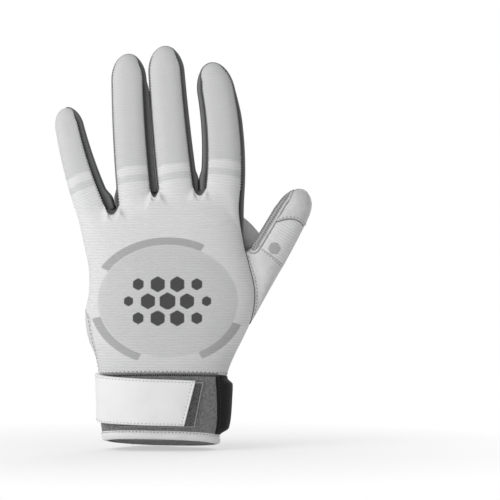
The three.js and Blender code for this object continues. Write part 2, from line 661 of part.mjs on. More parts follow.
// Thumb
const KNIT_FROM = 0.083;
const KNIT_TO = 0.444;
const STRIP_FROM = -0.03;
const TURN_GAP = 0.006;
add("thumb_lower_back", sheet(thumbShell(KNIT_FROM + TURN_GAP, KNIT_TO - TURN_GAP), 6, 4, 0, KNIT_WALL), KNIT);
const leatherFrom = KNIT_TO + TURN_GAP;
const leatherTo = 1 + STRIP_FROM - TURN_GAP;
add("thumb_lower_palm", sheet(thumbShell(leatherFrom, leatherTo), 8, 4, 0, LEATHER_WALL), LEATHER);
const stripTurn = (u, v, inset) => {
  const turn = mix(STRIP_FROM + TURN_GAP, KNIT_FROM - TURN_GAP, u);
  return thumbRound(turn < 0 ? turn + 1 : turn, mix(SEAM_GAP, THUMB.crease - SEAM_GAP, v), inset);
};
add("thumb_side_strip", sheet(stripTurn, 3, 4, 0, CLOTH_WALL), DARK_CLOTH);
const TIP = { ...THUMB, backLeft: 0, backRight: 0, palmLeft: 0, palmRight: 0 };
add("thumb_cap", sheet(upperSurface(TIP, -1), 6, 6, 0, LEATHER_WALL), LEATHER);
add("thumb_tip_palm", sheet(upperSurface(TIP, 1), 6, 6, 0, LEATHER_WALL), LEATHER);

// Cuff, strap and pull tab
add("cuff_band", sheet(bandSurface, STEPS_CUFF, 3, 0, CUFF_WALL), HEATHER);
add("cuff_hem", sheet(hemSurface, STEPS_CUFF + 6, 3, 0, CUFF_WALL, true), LEATHER);
add("elastic_gusset", sheet(gussetSurface, 8, 5, 0, CUFF_WALL), BLACK);
add("loop_patch", sheet(patchSurface(LOOP_PATCH), 8, 2, SEAM_GAP, LOOP_TOP), DARK_CLOTH);
const hookLow = LOOP_TOP + SEAM_GAP;
add("hook_patch", sheet(patchSurface(HOOK_PATCH), 6, 2, hookLow, HOOK_TOP), DARK_CLOTH);
add("strap", sheet(strapSurface, 14, 3, 0, STRAP.wall), LEATHER);
add("pull_tab", sheet(tabSurface, 6, 8, 0, TAB_WALL), BLACK);

export default glove;
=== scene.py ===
import math
from functools import partial
from types import SimpleNamespace

import bmesh
import bpy
import numpy as np
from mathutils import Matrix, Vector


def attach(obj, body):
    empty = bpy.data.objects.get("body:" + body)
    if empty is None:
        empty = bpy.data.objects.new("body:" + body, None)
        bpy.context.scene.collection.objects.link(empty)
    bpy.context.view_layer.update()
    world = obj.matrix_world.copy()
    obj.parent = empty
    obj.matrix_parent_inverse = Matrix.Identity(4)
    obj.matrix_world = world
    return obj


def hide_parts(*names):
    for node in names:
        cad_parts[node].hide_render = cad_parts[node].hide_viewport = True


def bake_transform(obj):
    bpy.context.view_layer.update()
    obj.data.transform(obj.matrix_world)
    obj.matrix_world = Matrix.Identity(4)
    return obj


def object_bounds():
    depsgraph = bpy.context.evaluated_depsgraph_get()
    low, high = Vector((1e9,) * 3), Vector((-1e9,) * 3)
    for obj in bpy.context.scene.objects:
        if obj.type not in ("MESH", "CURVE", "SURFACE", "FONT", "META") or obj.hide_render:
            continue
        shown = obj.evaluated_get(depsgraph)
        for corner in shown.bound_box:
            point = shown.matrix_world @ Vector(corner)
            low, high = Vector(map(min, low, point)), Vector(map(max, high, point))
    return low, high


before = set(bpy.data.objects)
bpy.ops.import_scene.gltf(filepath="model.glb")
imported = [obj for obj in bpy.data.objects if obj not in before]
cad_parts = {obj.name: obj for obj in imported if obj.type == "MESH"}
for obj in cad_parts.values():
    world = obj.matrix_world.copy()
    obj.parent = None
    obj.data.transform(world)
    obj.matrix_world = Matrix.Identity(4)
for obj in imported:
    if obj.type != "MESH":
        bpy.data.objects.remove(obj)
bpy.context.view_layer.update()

# Padded inner glove for a left hand. Sizes are millimetres until a mesh is made.
# +X points to the thumb side, +Y out of the palm and +Z to the fingertips.
MM = 0.001
COARSE = 1.0

# Walls and edges of the visible layers
KNIT_WALL = 1.3
LEATHER_WALL = 1.4
CLOTH_WALL = 1.1
CUFF_WALL = 1.8
WEB_STRIP_WALL = 0.6
ROLL_RADIUS = 1.0
ROLL_DEPTH = 0.8
SIDE_SINK = 0.5
SIDE_LAP = 3.0
ROOT_LAP = 1.5
ALL_EDGES = "left right low high"

# Sections of the hand and the cuff: level, left edge, right edge, depth of the back, depth of the palm
SECTIONS = (
    (-12, -33.5, 29.5, 18.0, 18.5),
    (4, -36.6, 32.0, 19.0, 19.5),
    (14, -38.0, 34.5, 19.5, 20.0),
    (30, -38.6, 36.3, 19.5, 20.0),
    (42, -39.0, 37.5, 19.0, 20.0),
    (52, -41.2, 41.5, 18.5, 20.5),
    (62, -45.2, 46.5, 18.0, 21.2),
    (75, -47.0, 52.0, 17.0, 21.2),
    (90, -44.8, 53.4, 15.8, 20.0),
    (105, -45.2, 50.2, 14.8, 18.2),
    (120, -49.0, 46.6, 14.0, 16.2),
    (135, -53.6, 46.0, 13.0, 14.2),
    (150, -57.0, 47.0, 12.0, 12.6),
    (165, -60.0, 48.0, 11.0, 11.6),
)
LEVELS = np.array([row[0] for row in SECTIONS], float)
EDGES = np.array([row[1:] for row in SECTIONS], float)
SQUARENESS = 2.5
ROUND = 2 / SQUARENESS

# Digits: root centre, lean and sideways bend in degrees, sizes, root line, seam angles, and split,
# the place along the axis where the piece that bends at the root hands over to the piece above it
LITTLE = SimpleNamespace(
    name="little", x=-42.5, y=2.6, z=140.4, lean=-21.4, curve=5.6, length=60.2, root_half=11.0,
    tip_half=8.6, root_depth=9.6, tip_depth=7.6, curl=5.0, crease=21.0, root_left=-1.9,
    root_right=-0.4, back_left=0, back_right=60, palm_left=0, palm_right=30, split=10.0,
)
RING = SimpleNamespace(
    name="ring", x=-16.6, y=1.2, z=143.4, lean=-6.1, curve=2.7, length=86.8, root_half=11.5,
    tip_half=10.5, root_depth=10.8, tip_depth=8.6, curl=5.5, crease=28.0, root_left=-3.4,
    root_right=6.2, back_left=26, back_right=45, palm_left=30, palm_right=30, split=15.0,
)
MIDDLE = SimpleNamespace(
    name="middle", x=8.2, y=0.4, z=145.1, lean=-7.2, curve=1.8, length=90.0, root_half=12.2,
    tip_half=10.9, root_depth=11.3, tip_depth=8.8, curl=5.5, crease=29.0, root_left=4.5,
    root_right=5.9, back_left=28, back_right=46, palm_left=30, palm_right=30, split=17.0,
)
INDEX = SimpleNamespace(
    name="index", x=33.0, y=0.9, z=147.5, lean=5.4, curve=-10.4, length=76.4, root_half=13.0,
    tip_half=11.4, root_depth=11.3, tip_depth=8.8, curl=5.0, crease=21.5, root_left=3.5,
    root_right=1.0, back_left=52, back_right=31, palm_left=30, palm_right=30, split=12.0,
)
THUMB = SimpleNamespace(
    name="thumb", x=60.6, y=4.0, z=110.2, lean=31.0, curve=-2.2, length=45.4, root_half=10.9,
    tip_half=9.9, root_depth=10.4, tip_depth=8.6, curl=3.0, crease=21.0, root_left=0.0,
    root_right=0.0, back_left=55.8, back_right=0, palm_left=11, palm_right=0, split=10.5,
)
FINGERS = (LITTLE, RING, MIDDLE, INDEX)
EASE_TURN = 1.1

# Fingertips. A rim runs 0 to 1 up the left side, 1 to 2 round the tip and 2 to 3 down the right side
TIP_STRETCH = 1.5
TIP_CORNER = 1.25
TIP_SIDES = 0.7
TIP_SEAM_SHARE = 0.1
TIP_SEAM_IN = (1.14, 1.44)
TIP_SEAM_OUT = (1.56, 1.8)
SEAM_CROSS = (1.15, 1.85)
RIM_END = 3.0
MEET_RIM_LEFT = (0.9, 1.2)
MEET_RIM_RIGHT = (1.8, 2.1)

# Where the sides of two neighbouring fingers meet: from the root up to a level, over a fade above it
MEETS = (
    SimpleNamespace(
        left=LITTLE, right=RING, level=143.0, fade=8.0, share=0.5, press=0.15, skew=1.0, power=0.8,
    ),
    SimpleNamespace(
        left=RING, right=MIDDLE, level=206.0, fade=14.0, share=1.0, press=0.53, skew=0.5, power=2.8,
    ),
    SimpleNamespace(
        left=MIDDLE, right=INDEX, level=155.0, fade=7.0, share=0.5, press=0.35, skew=1.0, power=0.8,
    ),
)
MEET_FROM = -8.0
MEET_POINTS = 60
INDEX_PUFF = 1.3
INDEX_PUFF_FADE = (190.0, 214.0)
INDEX_PUFF_RISE = (0.1, 0.6)

# Raised pads: place along the finger and half width
PAD_RISE = 2.8
PAD_EDGE = 0.68
PAD_POWER = 4
PAD_STITCH = 1.08
PAD_POINTS = 241
PAD_ROW_LEAST = 8
FINGER_PADS = (
    SimpleNamespace(finger=INDEX, start=3.0, end=20.0, half=8.4),
    SimpleNamespace(finger=INDEX, start=23.0, end=57.0, half=9.0),
    SimpleNamespace(finger=MIDDLE, start=6.5, end=27.5, half=8.2),
    SimpleNamespace(finger=MIDDLE, start=30.5, end=62.0, half=8.6),
    SimpleNamespace(finger=RING, start=5.0, end=26.0, half=8.0),
)
PALM_PAD = SimpleNamespace(
    x=10.0, z=118.0, high=22.5, wide=26.5, taper=0.34, power=2.6, rise=3.0, stitch=1.04, points=181,
)
PALM_LINE = SimpleNamespace(deep=0.5, x=10, z=88, bow=0.012, wide=1.2, fade=(26, 34))

# Seams of the hand, in degrees round it and millimetres up it
BACK_EDGE = 9
PALM_EDGE = 16
BACK_TURN = 122
PALM_TURN = 60
TURN_SHARE = (0.7, 1.0)
WRIST_WRAP = (9, 25)
WRAP_FROM = 40
WRAP_FULL = (64, 74)
WRAP_TO = 81
THUMB_OPEN_FROM = 70.5
THUMB_OPEN_TO = 112.0
THUMB_OPEN_ANGLE = 30
THUMB_OPEN_RISE = (58, 84)
THUMB_OPEN_FALL = (96, 122)
THUMB_PULL = 0.55
OPEN_CORNERS = (-0.07, 0.07, 0.43, 0.57, 0.93)
HAND_BLEND = 30
ROOT_BLEND = 12
CROTCH_DIP = 4.0
CROTCH_RISE = 3.4
CLEFT_BLEND = 5.0
CLEFT_SIDE = (0.4, 1.0)
CLEFT_FLUSH = 0.75
CLEFT_FLUSH_TO = 0.35
CLEFT_ARCH = 0.7
FINGER_SHARE = 6
CLEFT_SHARE = 2
STRIP_OVER = 0.06
GUSSET_OVER = 0.04
GUSSET_SINK = 0.4

# Thumb seams: the knit's turn limits, the root seam's slant, the cap seam's three places
KNIT_FROM = 0.155
KNIT_TO = 0.444
OUTER_TO = 0.505
OUTER_LAP = 1.6
STRIP_FROM = -0.03
STRIP_TUCK = 0.01
STRIP_SINK = 0.3
STRIP_PUFF = 1.5
STRIP_END = 1.3
STRIP_FLATTENS = (0.6, 1.0)
WEB_CORNER = 0.05
WEB_EDGE = (0.08, 0.95)
WEB_STRIP = SimpleNamespace(low=0.02, top=1.02, puff=(0.3, 1.0), flush=(0.7, 1.0), lift=1.5)
ROOT_SLANT = 1.5
CAP_SEAM = ((-7.6, 17.6), (-2.1, 24.0), (8.1, 26.7))
CAP_PLACE = 0.7
CAP_SWELL = 0.4
CAP_SWELL_TO = 6
CAP_LAP = 1.0
CAP_TUCK = 0.3
CAP_TUCK_FROM = 0.85
TIP_JOIN = (1.22, 2.3)
TIP_JOIN_SINK = 0.45
THUMB_ZONE = (-4.0, 9.0)

# Leather web behind the thumb's strip: its top on the hand, places on the thumb, swell and bend
WEB = SimpleNamespace(
    low=110.0, top=136.0, thumb_low=0.0, thumb_top=7.0, turn_low=-0.05, turn_top=-0.1,
    swell=1.2, deep=6.0, sink=1.2, bend_from=(44.5, 8.0, 120.0), bend_to=(58.0, 8.0, 120.0),
)

# Cuff, strap and pull tab
CUFF_TOP_BACK = 41.6
CUFF_TOP_PALM = 37.6
BAND_LAP = 1.0
HEM_RISE = 0.4
HEM_TILT = 3.0
HEM_LEAN = 1.0
HEM_HEIGHT = 5.6
HEM_PROUD = 0.7
GUSSET = SimpleNamespace(
    back=(23.5, 38.0), palm=36, proud=(4.8, 3.2), rise=(0.0, 0.13), fall=(0.86, 0.97), power=0.5, lap=0.6,
    groove=2.4, groove_wide=0.6, groove_deep=0.5, low_stitch=2.0, binding=0.9, binding_in=0.5, fill=0.6,
)
LOOP_PATCH = SimpleNamespace(
    left=-26, top_right=22.6, low_right=17.4, low=10.4, top=37.2, lift=0.4, wall=1.1, border=0.4, inside=1.1,
)
HOOK_PATCH = SimpleNamespace(left=-16, top_right=8, low_right=8, low=13.6, top=34.0, lift=1.9, wall=0.9)
STRAP = SimpleNamespace(
    wall=1.9, low_root=13.6, top_root=41.6, low_end=11.5, top_end=37.9, low_x=9.8, top_x=16.0,
    root_angle=182, root_lift=0.4, lift=3.2, lift_to=0.4, bend=9.0, edge=0.7,
    groove=1.7, groove_wide=0.4, groove_deep=0.22, sag=0.12, sag_x=0.21, sag_z=0.17, sag_start=0.6,
)
PULL_TAB = SimpleNamespace(
    top_left=-24.0, top_right=14.0, low_left=-20.4, low_right=5.8, top=36.8, length=41.4, wall=1.5,
    lift=0.4, straight=22.8, flare=55, piping=0.4, piping_in=0.3, piping_from=5 / 9,
)

# Threads and piping, and thin grey tubes that paint in shadow lines
STITCH = SimpleNamespace(pitch=2.5, length=1.5, width=0.62, height=0.3)
FINE_STITCH = SimpleNamespace(pitch=2.1, length=1.3, width=0.5, height=0.24)
FRILL = SimpleNamespace(pitch=1.1, length=1.3, width=0.9, height=0.45)
LOCK_STITCH = SimpleNamespace(pitch=1.7, length=2.8, width=0.9, height=0.36)
BEAD = SimpleNamespace(sides=8, rings=3, blunt=0.6)
TUBE = SimpleNamespace(sides=10, pitch=0.8, taper=0.55, cap=0.4)
LOCK_INSIDE = 0.05
SEAM_INSIDE = 1.7
ROOT_STITCH = 1.2
WRIST_STITCH = 1.8
PALM_STITCH = 1.6
STRAP_STITCH = 1.6
CAP_STITCH = 1.5
HEM_STITCH = SimpleNamespace(inside=1.8, deep=0.4, wide=0.35)
PIPING = 0.75
PIPING_LIFT = 0.15
PIPING_TURN = 5.0
PIPING_END = 1.28
PIPING_POINTS = 60
WEB_PIPING_POINTS = 30
PIPING_JOIN = (0.3, 1.0)
# Painted shadow line beside the thumb's piping: radius of its thin grey tube and where it ends round the tip
PIPING_SHADOW = 0.3
PIPING_SHADOW_END = 1.18
# Painted shadow under the thumb cap's low edge: a thin grey tube laid just below it
CAP_SHADOW_LINE = SimpleNamespace(radius=0.34, below=0.4, start=0.03, points=60)
SEAM_PIPING = 0.8
SEAM_PIPING_LIFT = 0.5
SEAM_PIPING_PAST = 1

# Folds, and painted shading on the dark side cloth: place, height and width of each ridge or tone bump, or
# depth and width of a crease
CREASE = SimpleNamespace(deep=0.7, wide=1.1, second=0.3, second_up=3.2, second_wide=0.8, fade=(0.75, 1.0))
KNUCKLE = SimpleNamespace(deep=0.16, turn=1.3, wide=5.0)
SIDE_RIDGES = ((0.32, 0.5, 0.1), (0.7, 0.35, 0.11), (0.0, -0.5, 0.12), (1.0, -0.5, 0.12))
SIDE_SHADE = 0.32
# Painted highlight and shade on the finger side strips: lighter on the two ridges, darker next to both seams
# and between the ridges
SIDE_PAINTED_SHADING = ((0.3, 0.5, 0.1), (0.7, 0.3, 0.12), (0.06, -0.32, 0.09), (0.94, -0.32, 0.09), (0.5, -0.32, 0.09))
CLEFT_EDGES = ((0.0, 0.5, 0.15), (1.0, 0.5, 0.15))
# Painted shading on the crotch cloth: a painted highlight along its back edge, painted shade down the middle
# of the crotch towards the palm
CLEFT_PAINTED_SHADING = SimpleNamespace(base=0.3, rim=0.18, rim_wide=0.25, fold=0.22, fold_wide=0.12, fold_to=0.4)

# Mesh spacing
RIM_STEPS = np.array([0.12, 0.35, 0.7])
SHARP = math.radians(55)
ACROSS_STEP = 0.8
ALONG_STEP = 0.9
ROLL_STEP = 1.2
ROOT_EXTRA = 4
THUMB_RIM = 0.03
SLEEVE_END = (0.12, 9)
NEAREST = 4
NEAREST_SOFT = 0.01
TANGENT = 0.25


def mix(a, b, t):
    return a + (b - a) * t


def clamp(x):
    return np.clip(x, 0.0, 1.0)


def smooth(a, b, x):
    t = clamp((x - a) / (b - a))
    return t * t * (3 - 2 * t)


def hump(t):
    return np.sin(math.pi * t)


def signed_power(x, e):
    return np.sign(x) * np.abs(x) ** e


def bell(x, width):
    return np.exp(-((x / width) ** 2))


def ridges(x, rows):
    return sum(high * bell(x - at, wide) for at, high, wide in rows)


def stack(x, y, z):
    return np.stack(np.broadcast_arrays(x, y, z), axis=-1).astype(float)


def unit(vectors):
    length = np.linalg.norm(vectors, axis=-1, keepdims=True)
    return vectors / np.maximum(length, 1e-9)


# Hand and cuff surface: section at a level, then a point at an angle round it
def section(z):
    z = np.asarray(z, float)
    k = np.clip(np.searchsorted(LEVELS, z) - 1, 1, len(LEVELS) - 3)
    z0, z1, z2, z3 = (LEVELS[k + i] for i in (-1, 0, 1, 2))
    p0, p1, p2, p3 = (EDGES[k + i] for i in (-1, 0, 1, 2))
    span = z2 - z1
    t = clamp((z - z1) / span)[..., None]
    m1 = (p2 - p0) / (z2 - z0)[..., None] * span[..., None]
    m2 = (p3 - p1) / (z3 - z1)[..., None] * span[..., None]
    value = (2 * t**3 - 3 * t**2 + 1) * p1 + (t**3 - 2 * t**2 + t) * m1
    value = value + (3 * t**2 - 2 * t**3) * p2 + (t**3 - t**2) * m2
    left, right, back, palm = (value[..., i] for i in range(4))
    return (left + right) / 2, (right - left) / 2, back, palm


def hand_point(z, angle, inset):
    centre, half, back, palm = section(z)
    turn = np.radians(angle)
    up = np.sin(turn)
    depth = np.where(up < 0, back, palm) - inset
    x = centre + (half - inset) * signed_power(np.cos(turn), ROUND)
    return stack(x, depth * signed_power(up, ROUND), z)


def angle_of(p):
    centre, half, back, palm = section(p[2])
    across = signed_power((p[0] - centre) / half, 1 / ROUND)
    out = signed_power(p[1] / (back if p[1] < 0 else palm), 1 / ROUND)
    angle = math.degrees(math.atan2(out, across))
    return angle + 360 if angle < -90 else angle


def angle_at(z, x, side):
    centre, half, _, _ = section(z)
    share = np.clip((x - centre) / half, -1, 1)
    angle = np.degrees(np.arccos(signed_power(share, 1 / ROUND)))
    return 360 - angle if side < 0 else angle


# Finger surface: s runs along the axis, q across it from -1 to 1, side is -1 for the back
def side_of(angle):
    return np.where(angle < 0, -1, 1)


def finger_place(f, a, b, c):
    bend = math.tan(math.radians(f.curve)) / f.length
    run = np.maximum(0, a)
    lean = math.radians(f.lean)
    turned = lean + np.arctan(2 * bend * run)
    off = bend * run * run
    x = f.x + a * math.sin(lean) + off * math.cos(lean) + b * np.cos(turned)
    y = f.y + c + f.curl * (run / f.length) ** 2
    z = f.z + a * math.cos(lean) - off * math.sin(lean) - b * np.sin(turned)
    return stack(x, y, z)


def finger_axis(f, a):
    bend = math.tan(math.radians(f.curve)) / f.length
    turned = math.radians(f.lean) + math.atan(2 * bend * max(0.0, a))
    return np.array([math.sin(turned), 0.0, math.cos(turned)])


def finger_local(f, points):
    lean = math.radians(f.lean)
    x = points[..., 0] - f.x
    z = points[..., 2] - f.z
    across = x * math.cos(lean) - z * math.sin(lean)
    along = x * math.sin(lean) + z * math.cos(lean)
    return across, along


def tip_length(f):
    return TIP_STRETCH * f.tip_half


def tip_centre(f):
    return f.length - tip_length(f)


def half_at(f, s):
    return mix(f.root_half, f.tip_half, np.minimum(1, s / tip_centre(f)))


def finger_point(f, s, q, side, inset):
    centre = tip_centre(f)
    tip = np.maximum(0, s - centre) / tip_length(f)
    spread = np.minimum(1, np.hypot(tip, q))
    t = np.minimum(1, s / centre)
    half = mix(f.root_half, f.tip_half, t) - inset
    depth = mix(f.root_depth, f.tip_depth, t) - inset
    a = np.where(s <= centre, s, centre + tip * (tip_length(f) - inset))
    c = side * depth * (1 - spread**SQUARENESS) ** (1 / SQUARENESS)
    return finger_place(f, a, q * half, c)


def seam_share(angle):
    return np.cos(np.radians(angle)) ** ROUND


def rim_place(f, low_left, low_right, rim, share):
    centre = tip_centre(f)
    turn = (rim - 1) * math.pi
    s = np.where(rim <= 1, mix(low_left, centre, rim), mix(centre, low_right, rim - 2))
    q = np.where(rim <= 1, -share, share)
    over = (rim > 1) & (rim < 2)
    s = np.where(over, centre + tip_length(f) * share * np.sin(turn), s)
    q = np.where(over, -share * np.cos(turn), q)
    return s, q


def rim_seam(f, rim, side):
    left, right = (f.back_left, f.back_right) if side < 0 else (f.palm_left, f.palm_right)
    angle = mix(left, right, smooth(*SEAM_CROSS, rim))
    tip = smooth(*TIP_SEAM_IN, rim) * (1 - smooth(*TIP_SEAM_OUT, rim))
    return angle * mix(1, TIP_SEAM_SHARE, tip)


def root_line(f, q):
    rise = mix(f.root_left, f.root_right, (q + 1) / 2)
    lean = math.radians(f.lean)
    return (rise + q * f.root_half * math.sin(lean)) / math.cos(lean)


def ease(u):
    return 0.5 + np.sin((2 * u - 1) * EASE_TURN) / (2 * math.sin(EASE_TURN))


# Rise of the pads over the plain leather
def pad_reach(pad, s, b):
    middle = (pad.start + pad.end) / 2
    reach = (pad.end - pad.start) / 2
    total = np.abs((s - middle) / reach) ** PAD_POWER + np.abs(b / pad.half) ** PAD_POWER
    return total ** (1 / PAD_POWER)


def leather_rise(f, s, q):
    rise = np.zeros(np.broadcast(s, q).shape)
    for pad in FINGER_PADS:
        if pad.finger is f:
            rise = rise + PAD_RISE * (1 - smooth(PAD_EDGE, 1, pad_reach(pad, s, q * half_at(f, s))))
    return rise


def palm_pad_wide(up):
    return PALM_PAD.wide * (1 - PALM_PAD.taper * clamp((1 - up) / 2))


def palm_rise(x, z):
    up = (z - PALM_PAD.z) / PALM_PAD.high
    across = (x - PALM_PAD.x) / palm_pad_wide(up)
    total = np.abs(up) ** PALM_PAD.power + np.abs(across) ** PALM_PAD.power
    return PALM_PAD.rise * (1 - smooth(PAD_EDGE, 1, total ** (1 / PALM_PAD.power)))


# Pieces of a finger: from the root line to the split, and from the split to the tip
def seams(f, side):
    if side < 0:
        return -seam_share(f.back_left), seam_share(f.back_right)
    return -seam_share(f.palm_left), seam_share(f.palm_right)


def padded_point(f, s, q, side, inset):
    rise = leather_rise(f, s, q) if side > 0 else 0.0
    return finger_point(f, s, q, side, inset - rise)


def root_surface(f, side, u, v, inset):
    q = mix(*seams(f, side), ease(u))
    return padded_point(f, mix(root_line(f, q), f.split, v), q, side, inset)


def tip_places(f, side, low, u, v):
    low_left = low(-1.0)
    low_right = low(1.0)

    def edge(rim):
        return np.stack(rim_place(f, low_left, low_right, rim, seam_share(rim_seam(f, rim, side))))

    t = ease(u)
    above = (v - TIP_SIDES) / (1 - TIP_SIDES)
    rim = np.where(v < TIP_SIDES, v / TIP_SIDES, 1 + above * (TIP_CORNER - 1))
    top = edge(mix(TIP_CORNER, RIM_END - TIP_CORNER, u))
    flat = (2,) + (1,) * np.ndim(u)
    corners = (0.0, RIM_END, TIP_CORNER, RIM_END - TIP_CORNER)
    a, b, c, d = (edge(np.array(corner)).reshape(flat) for corner in corners)
    q = mix(a[1], b[1], t)
    bottom = np.stack([low(q), q])
    ruled = mix(edge(rim), edge(RIM_END - rim), t) + mix(bottom, top, v)
    return ruled - mix(mix(a, b, t), mix(c, d, t), v)


def tip_surface(f, side, u, v, inset, low=None):
    s, q = tip_places(f, side, low or (lambda q: f.split + 0.0 * q), u, v)
    return padded_point(f, s, q, side, inset)


def side_line(f, hand):
    s = np.linspace(MEET_FROM, tip_centre(f), MEET_POINTS)
    return finger_place(f, s, hand * half_at(f, s), 0.0)


def meet_bulge(f, hand, z, u):
    for meet in MEETS:
        if (meet.left if hand > 0 else meet.right) is f:
            a = side_line(meet.left, 1)
            b = side_line(meet.right, -1)
            gap = np.interp(z, b[:, 2], b[:, 0]) - np.interp(z, a[:, 2], a[:, 0])
            share = meet.share if hand > 0 else 1 - meet.share
            reach = np.maximum(0, gap + 2 * meet.press) * share
            fade = 1 - smooth(meet.level, meet.level + meet.fade, z)
            return reach * fade * hump(clamp(u) ** meet.skew) ** meet.power
    if f is INDEX:
        return INDEX_PUFF * (1 - smooth(*INDEX_PUFF_FADE, z)) * hump(clamp(u))
    return 0.0 * z


def side_surface(f, hand, u, v, inset):
    back, palm = (f.back_left, f.palm_left) if hand < 0 else (f.back_right, f.palm_right)
    angle = mix(-back - SIDE_LAP, palm + SIDE_LAP, u)
    s = mix(root_line(f, hand) - ROOT_LAP, f.split, v)
    q = hand * seam_share(angle)
    level = finger_point(f, s, q, side_of(angle), 0.0)[..., 2]
    return finger_point(f, s, q, side_of(angle), inset - meet_bulge(f, hand, level, u))


def rim_surface(f, rim_from, rim_to, u, v, inset):
    rim = mix(rim_from, rim_to, v)
    angle = mix(-rim_seam(f, rim, -1) - SIDE_LAP, rim_seam(f, rim, 1) + SIDE_LAP, u)
    s, q = rim_place(f, f.split, f.split, rim, seam_share(angle))
    level = finger_point(f, s, q, side_of(angle), 0.0)[..., 2]
    left = meet_bulge(f, -1, level, u) * (1 - smooth(*MEET_RIM_LEFT, rim))
    right = meet_bulge(f, 1, level, u) * smooth(*MEET_RIM_RIGHT, rim)
    return finger_point(f, s, q, side_of(angle), inset - left - right)


# Bottom of the cleft between two neighbouring fingers
def cleft_point(f, g, t, angle_f, angle_g, inset, rise=0.0):
    a = finger_point(f, root_line(f, 1), seam_share(angle_f), side_of(angle_f), inset)
    b = finger_point(g, root_line(g, -1), -seam_share(angle_g), side_of(angle_g), inset)
    low = (a + b) / 2
    low[..., 2] -= 2 * (CROTCH_DIP + inset - rise)
    t = np.asarray(t, float)[..., None]
    return a * (1 - t) ** 2 + low * 2 * t * (1 - t) + b * t * t


def cleft_lift(f, g):
    x, y, z = cleft_point(f, g, np.array(0.5), np.array(-f.back_right), np.array(-g.back_left), 0.0)
    return CLEFT_FLUSH * (y - hand_point(z, angle_at(z, x, -1), 0.0)[1])


def cleft_surface(f, g, u, v, inset):
    angle_f = mix(-f.back_right - SIDE_LAP, f.palm_right + SIDE_LAP, v)
    angle_g = mix(-g.back_left - SIDE_LAP, g.palm_left + SIDE_LAP, v)
    points = cleft_point(f, g, u, angle_f, angle_g, inset + 0.0 * u, CROTCH_RISE * hump(v))
    forward = cleft_lift(f, g) - KNIT_WALL
    points[..., 1] -= forward * hump(u) * (1 - smooth(0, CLEFT_FLUSH_TO, v))
    return points


# Columns of the hand: each runs from the wrist seam up to a finger root or a cleft
def wrap_at(z):
    turn = mix(*WRIST_WRAP, smooth(WRAP_FROM, WRAP_FULL[0], z))
    return turn * (1 - smooth(WRAP_FULL[1], WRAP_TO, z))


def open_at(z):
    return PALM_EDGE + THUMB_OPEN_ANGLE * smooth(*THUMB_OPEN_RISE, z) * (1 - smooth(*THUMB_OPEN_FALL, z))


def wrist_level(angle):
    return mix(CUFF_TOP_BACK, CUFF_TOP_PALM, (1 + np.sin(np.radians(angle))) / 2)


def column_angle(column, z):
    little = 180 + wrap_at(z)
    if column.side < 0:
        bottom = mix(little, 360 - BACK_EDGE, column.share)
        start = mix(PALM_TURN, BACK_TURN, smooth(*TURN_SHARE, column.share))
        return mix(bottom, column.top_angle, smooth(start, column.level, z))
    bottom = mix(little, open_at(z), column.share)
    return mix(bottom, column.top_angle, smooth(PALM_TURN, column.level, z))


def column_point(column, z, inset):
    plain = hand_point(z, column_angle(column, z), inset)
    target = column.run(z - column.level, inset)
    near = smooth(column.level - HAND_BLEND, column.level, z)
    fill = smooth(column.level - column.blend, column.level, z)
    point = mix(plain, target, near[..., None])
    x, z = point[..., 0], point[..., 2]
    hull = hand_point(z, angle_at(z, x, column.side), inset)[..., 1]
    inner = column.inner * smooth(WRAP_TO, column.level - HAND_BLEND, z)
    base = mix(plain[..., 1], hull, inner)
    point[..., 1] = mix(base, target[..., 1], fill)
    return point


def finger_run(f, root, q, side, drop, inset):
    return finger_point(f, root + drop / math.cos(math.radians(f.lean)), q, side, inset)


def cleft_run(f, g, t, angle_f, angle_g, drop, inset):
    lean = mix(math.tan(math.radians(f.lean)), math.tan(math.radians(g.lean)), t)
    proud = cleft_lift(f, g) * hump(t) ** CLEFT_ARCH if angle_f < 0 else 0.0
    return cleft_point(f, g, t + 0.0 * drop, angle_f, angle_g, inset) + stack(drop * lean, -proud, drop)


def hand_columns(side, per_finger, per_cleft):
    columns = []
    pitch = FINGER_SHARE + CLEFT_SHARE
    last = pitch * len(FINGERS) - CLEFT_SHARE

    def add(run, index, cleft, blend, inner):
        peak = run(np.zeros(1), np.zeros(1))[0]
        angle = angle_of(peak)
        angle = angle + 360 if side < 0 and angle < 90 else angle
        columns.append(SimpleNamespace(
            run=run, side=side, share=index / last, level=peak[2], cleft=cleft, blend=blend, inner=inner,
            top_angle=mix(angle, angle_at(peak[2], peak[0], side), inner),
        ))

    for k, f in enumerate(FINGERS):
        left, right = seams(f, side)
        for p in np.linspace(0, 1, per_finger):
            q = mix(left, right, ease(p))
            outer = 1 - 2 * p if f is LITTLE else 2 * p - 1 if f is INDEX else 0.0
            inner = 1 - smooth(0, 1, outer)
            blend = mix(ROOT_BLEND, CLEFT_BLEND, smooth(*CLEFT_SIDE, abs(2 * p - 1)))
            blend = mix(HAND_BLEND, blend, inner)
            run = partial(finger_run, f, root_line(f, q), q, side)
            add(run, pitch * k + FINGER_SHARE * p, 0.0, blend, inner)
        if f is INDEX:
            break
        g = FINGERS[k + 1]
        angle_f = np.array(float(side * (f.back_right if side < 0 else f.palm_right)))
        angle_g = np.array(float(side * (g.back_left if side < 0 else g.palm_left)))
        for t in np.linspace(0, 1, per_cleft + 2)[1:-1]:
            index = pitch * k + FINGER_SHARE + CLEFT_SHARE * t
            add(partial(cleft_run, f, g, t, angle_f, angle_g), index, hump(t), CLEFT_BLEND, 1.0)
    return columns


def hand_surface(columns, u, v, inset):
    depth = np.broadcast_to(np.asarray(inset, float), u.shape)
    points = np.zeros(u.shape + (3,))
    for i, column in enumerate(columns):
        z = mix(wrist_level(column_angle(column, WRAP_FROM)), column.level, v[:, i])
        rise = 0.0
        if column.side > 0:
            plain = column_point(column, z, np.zeros_like(z))
            rise = palm_rise(plain[:, 0], plain[:, 2])
        points[:, i] = column_point(column, z, depth[:, i] - rise)
    return points


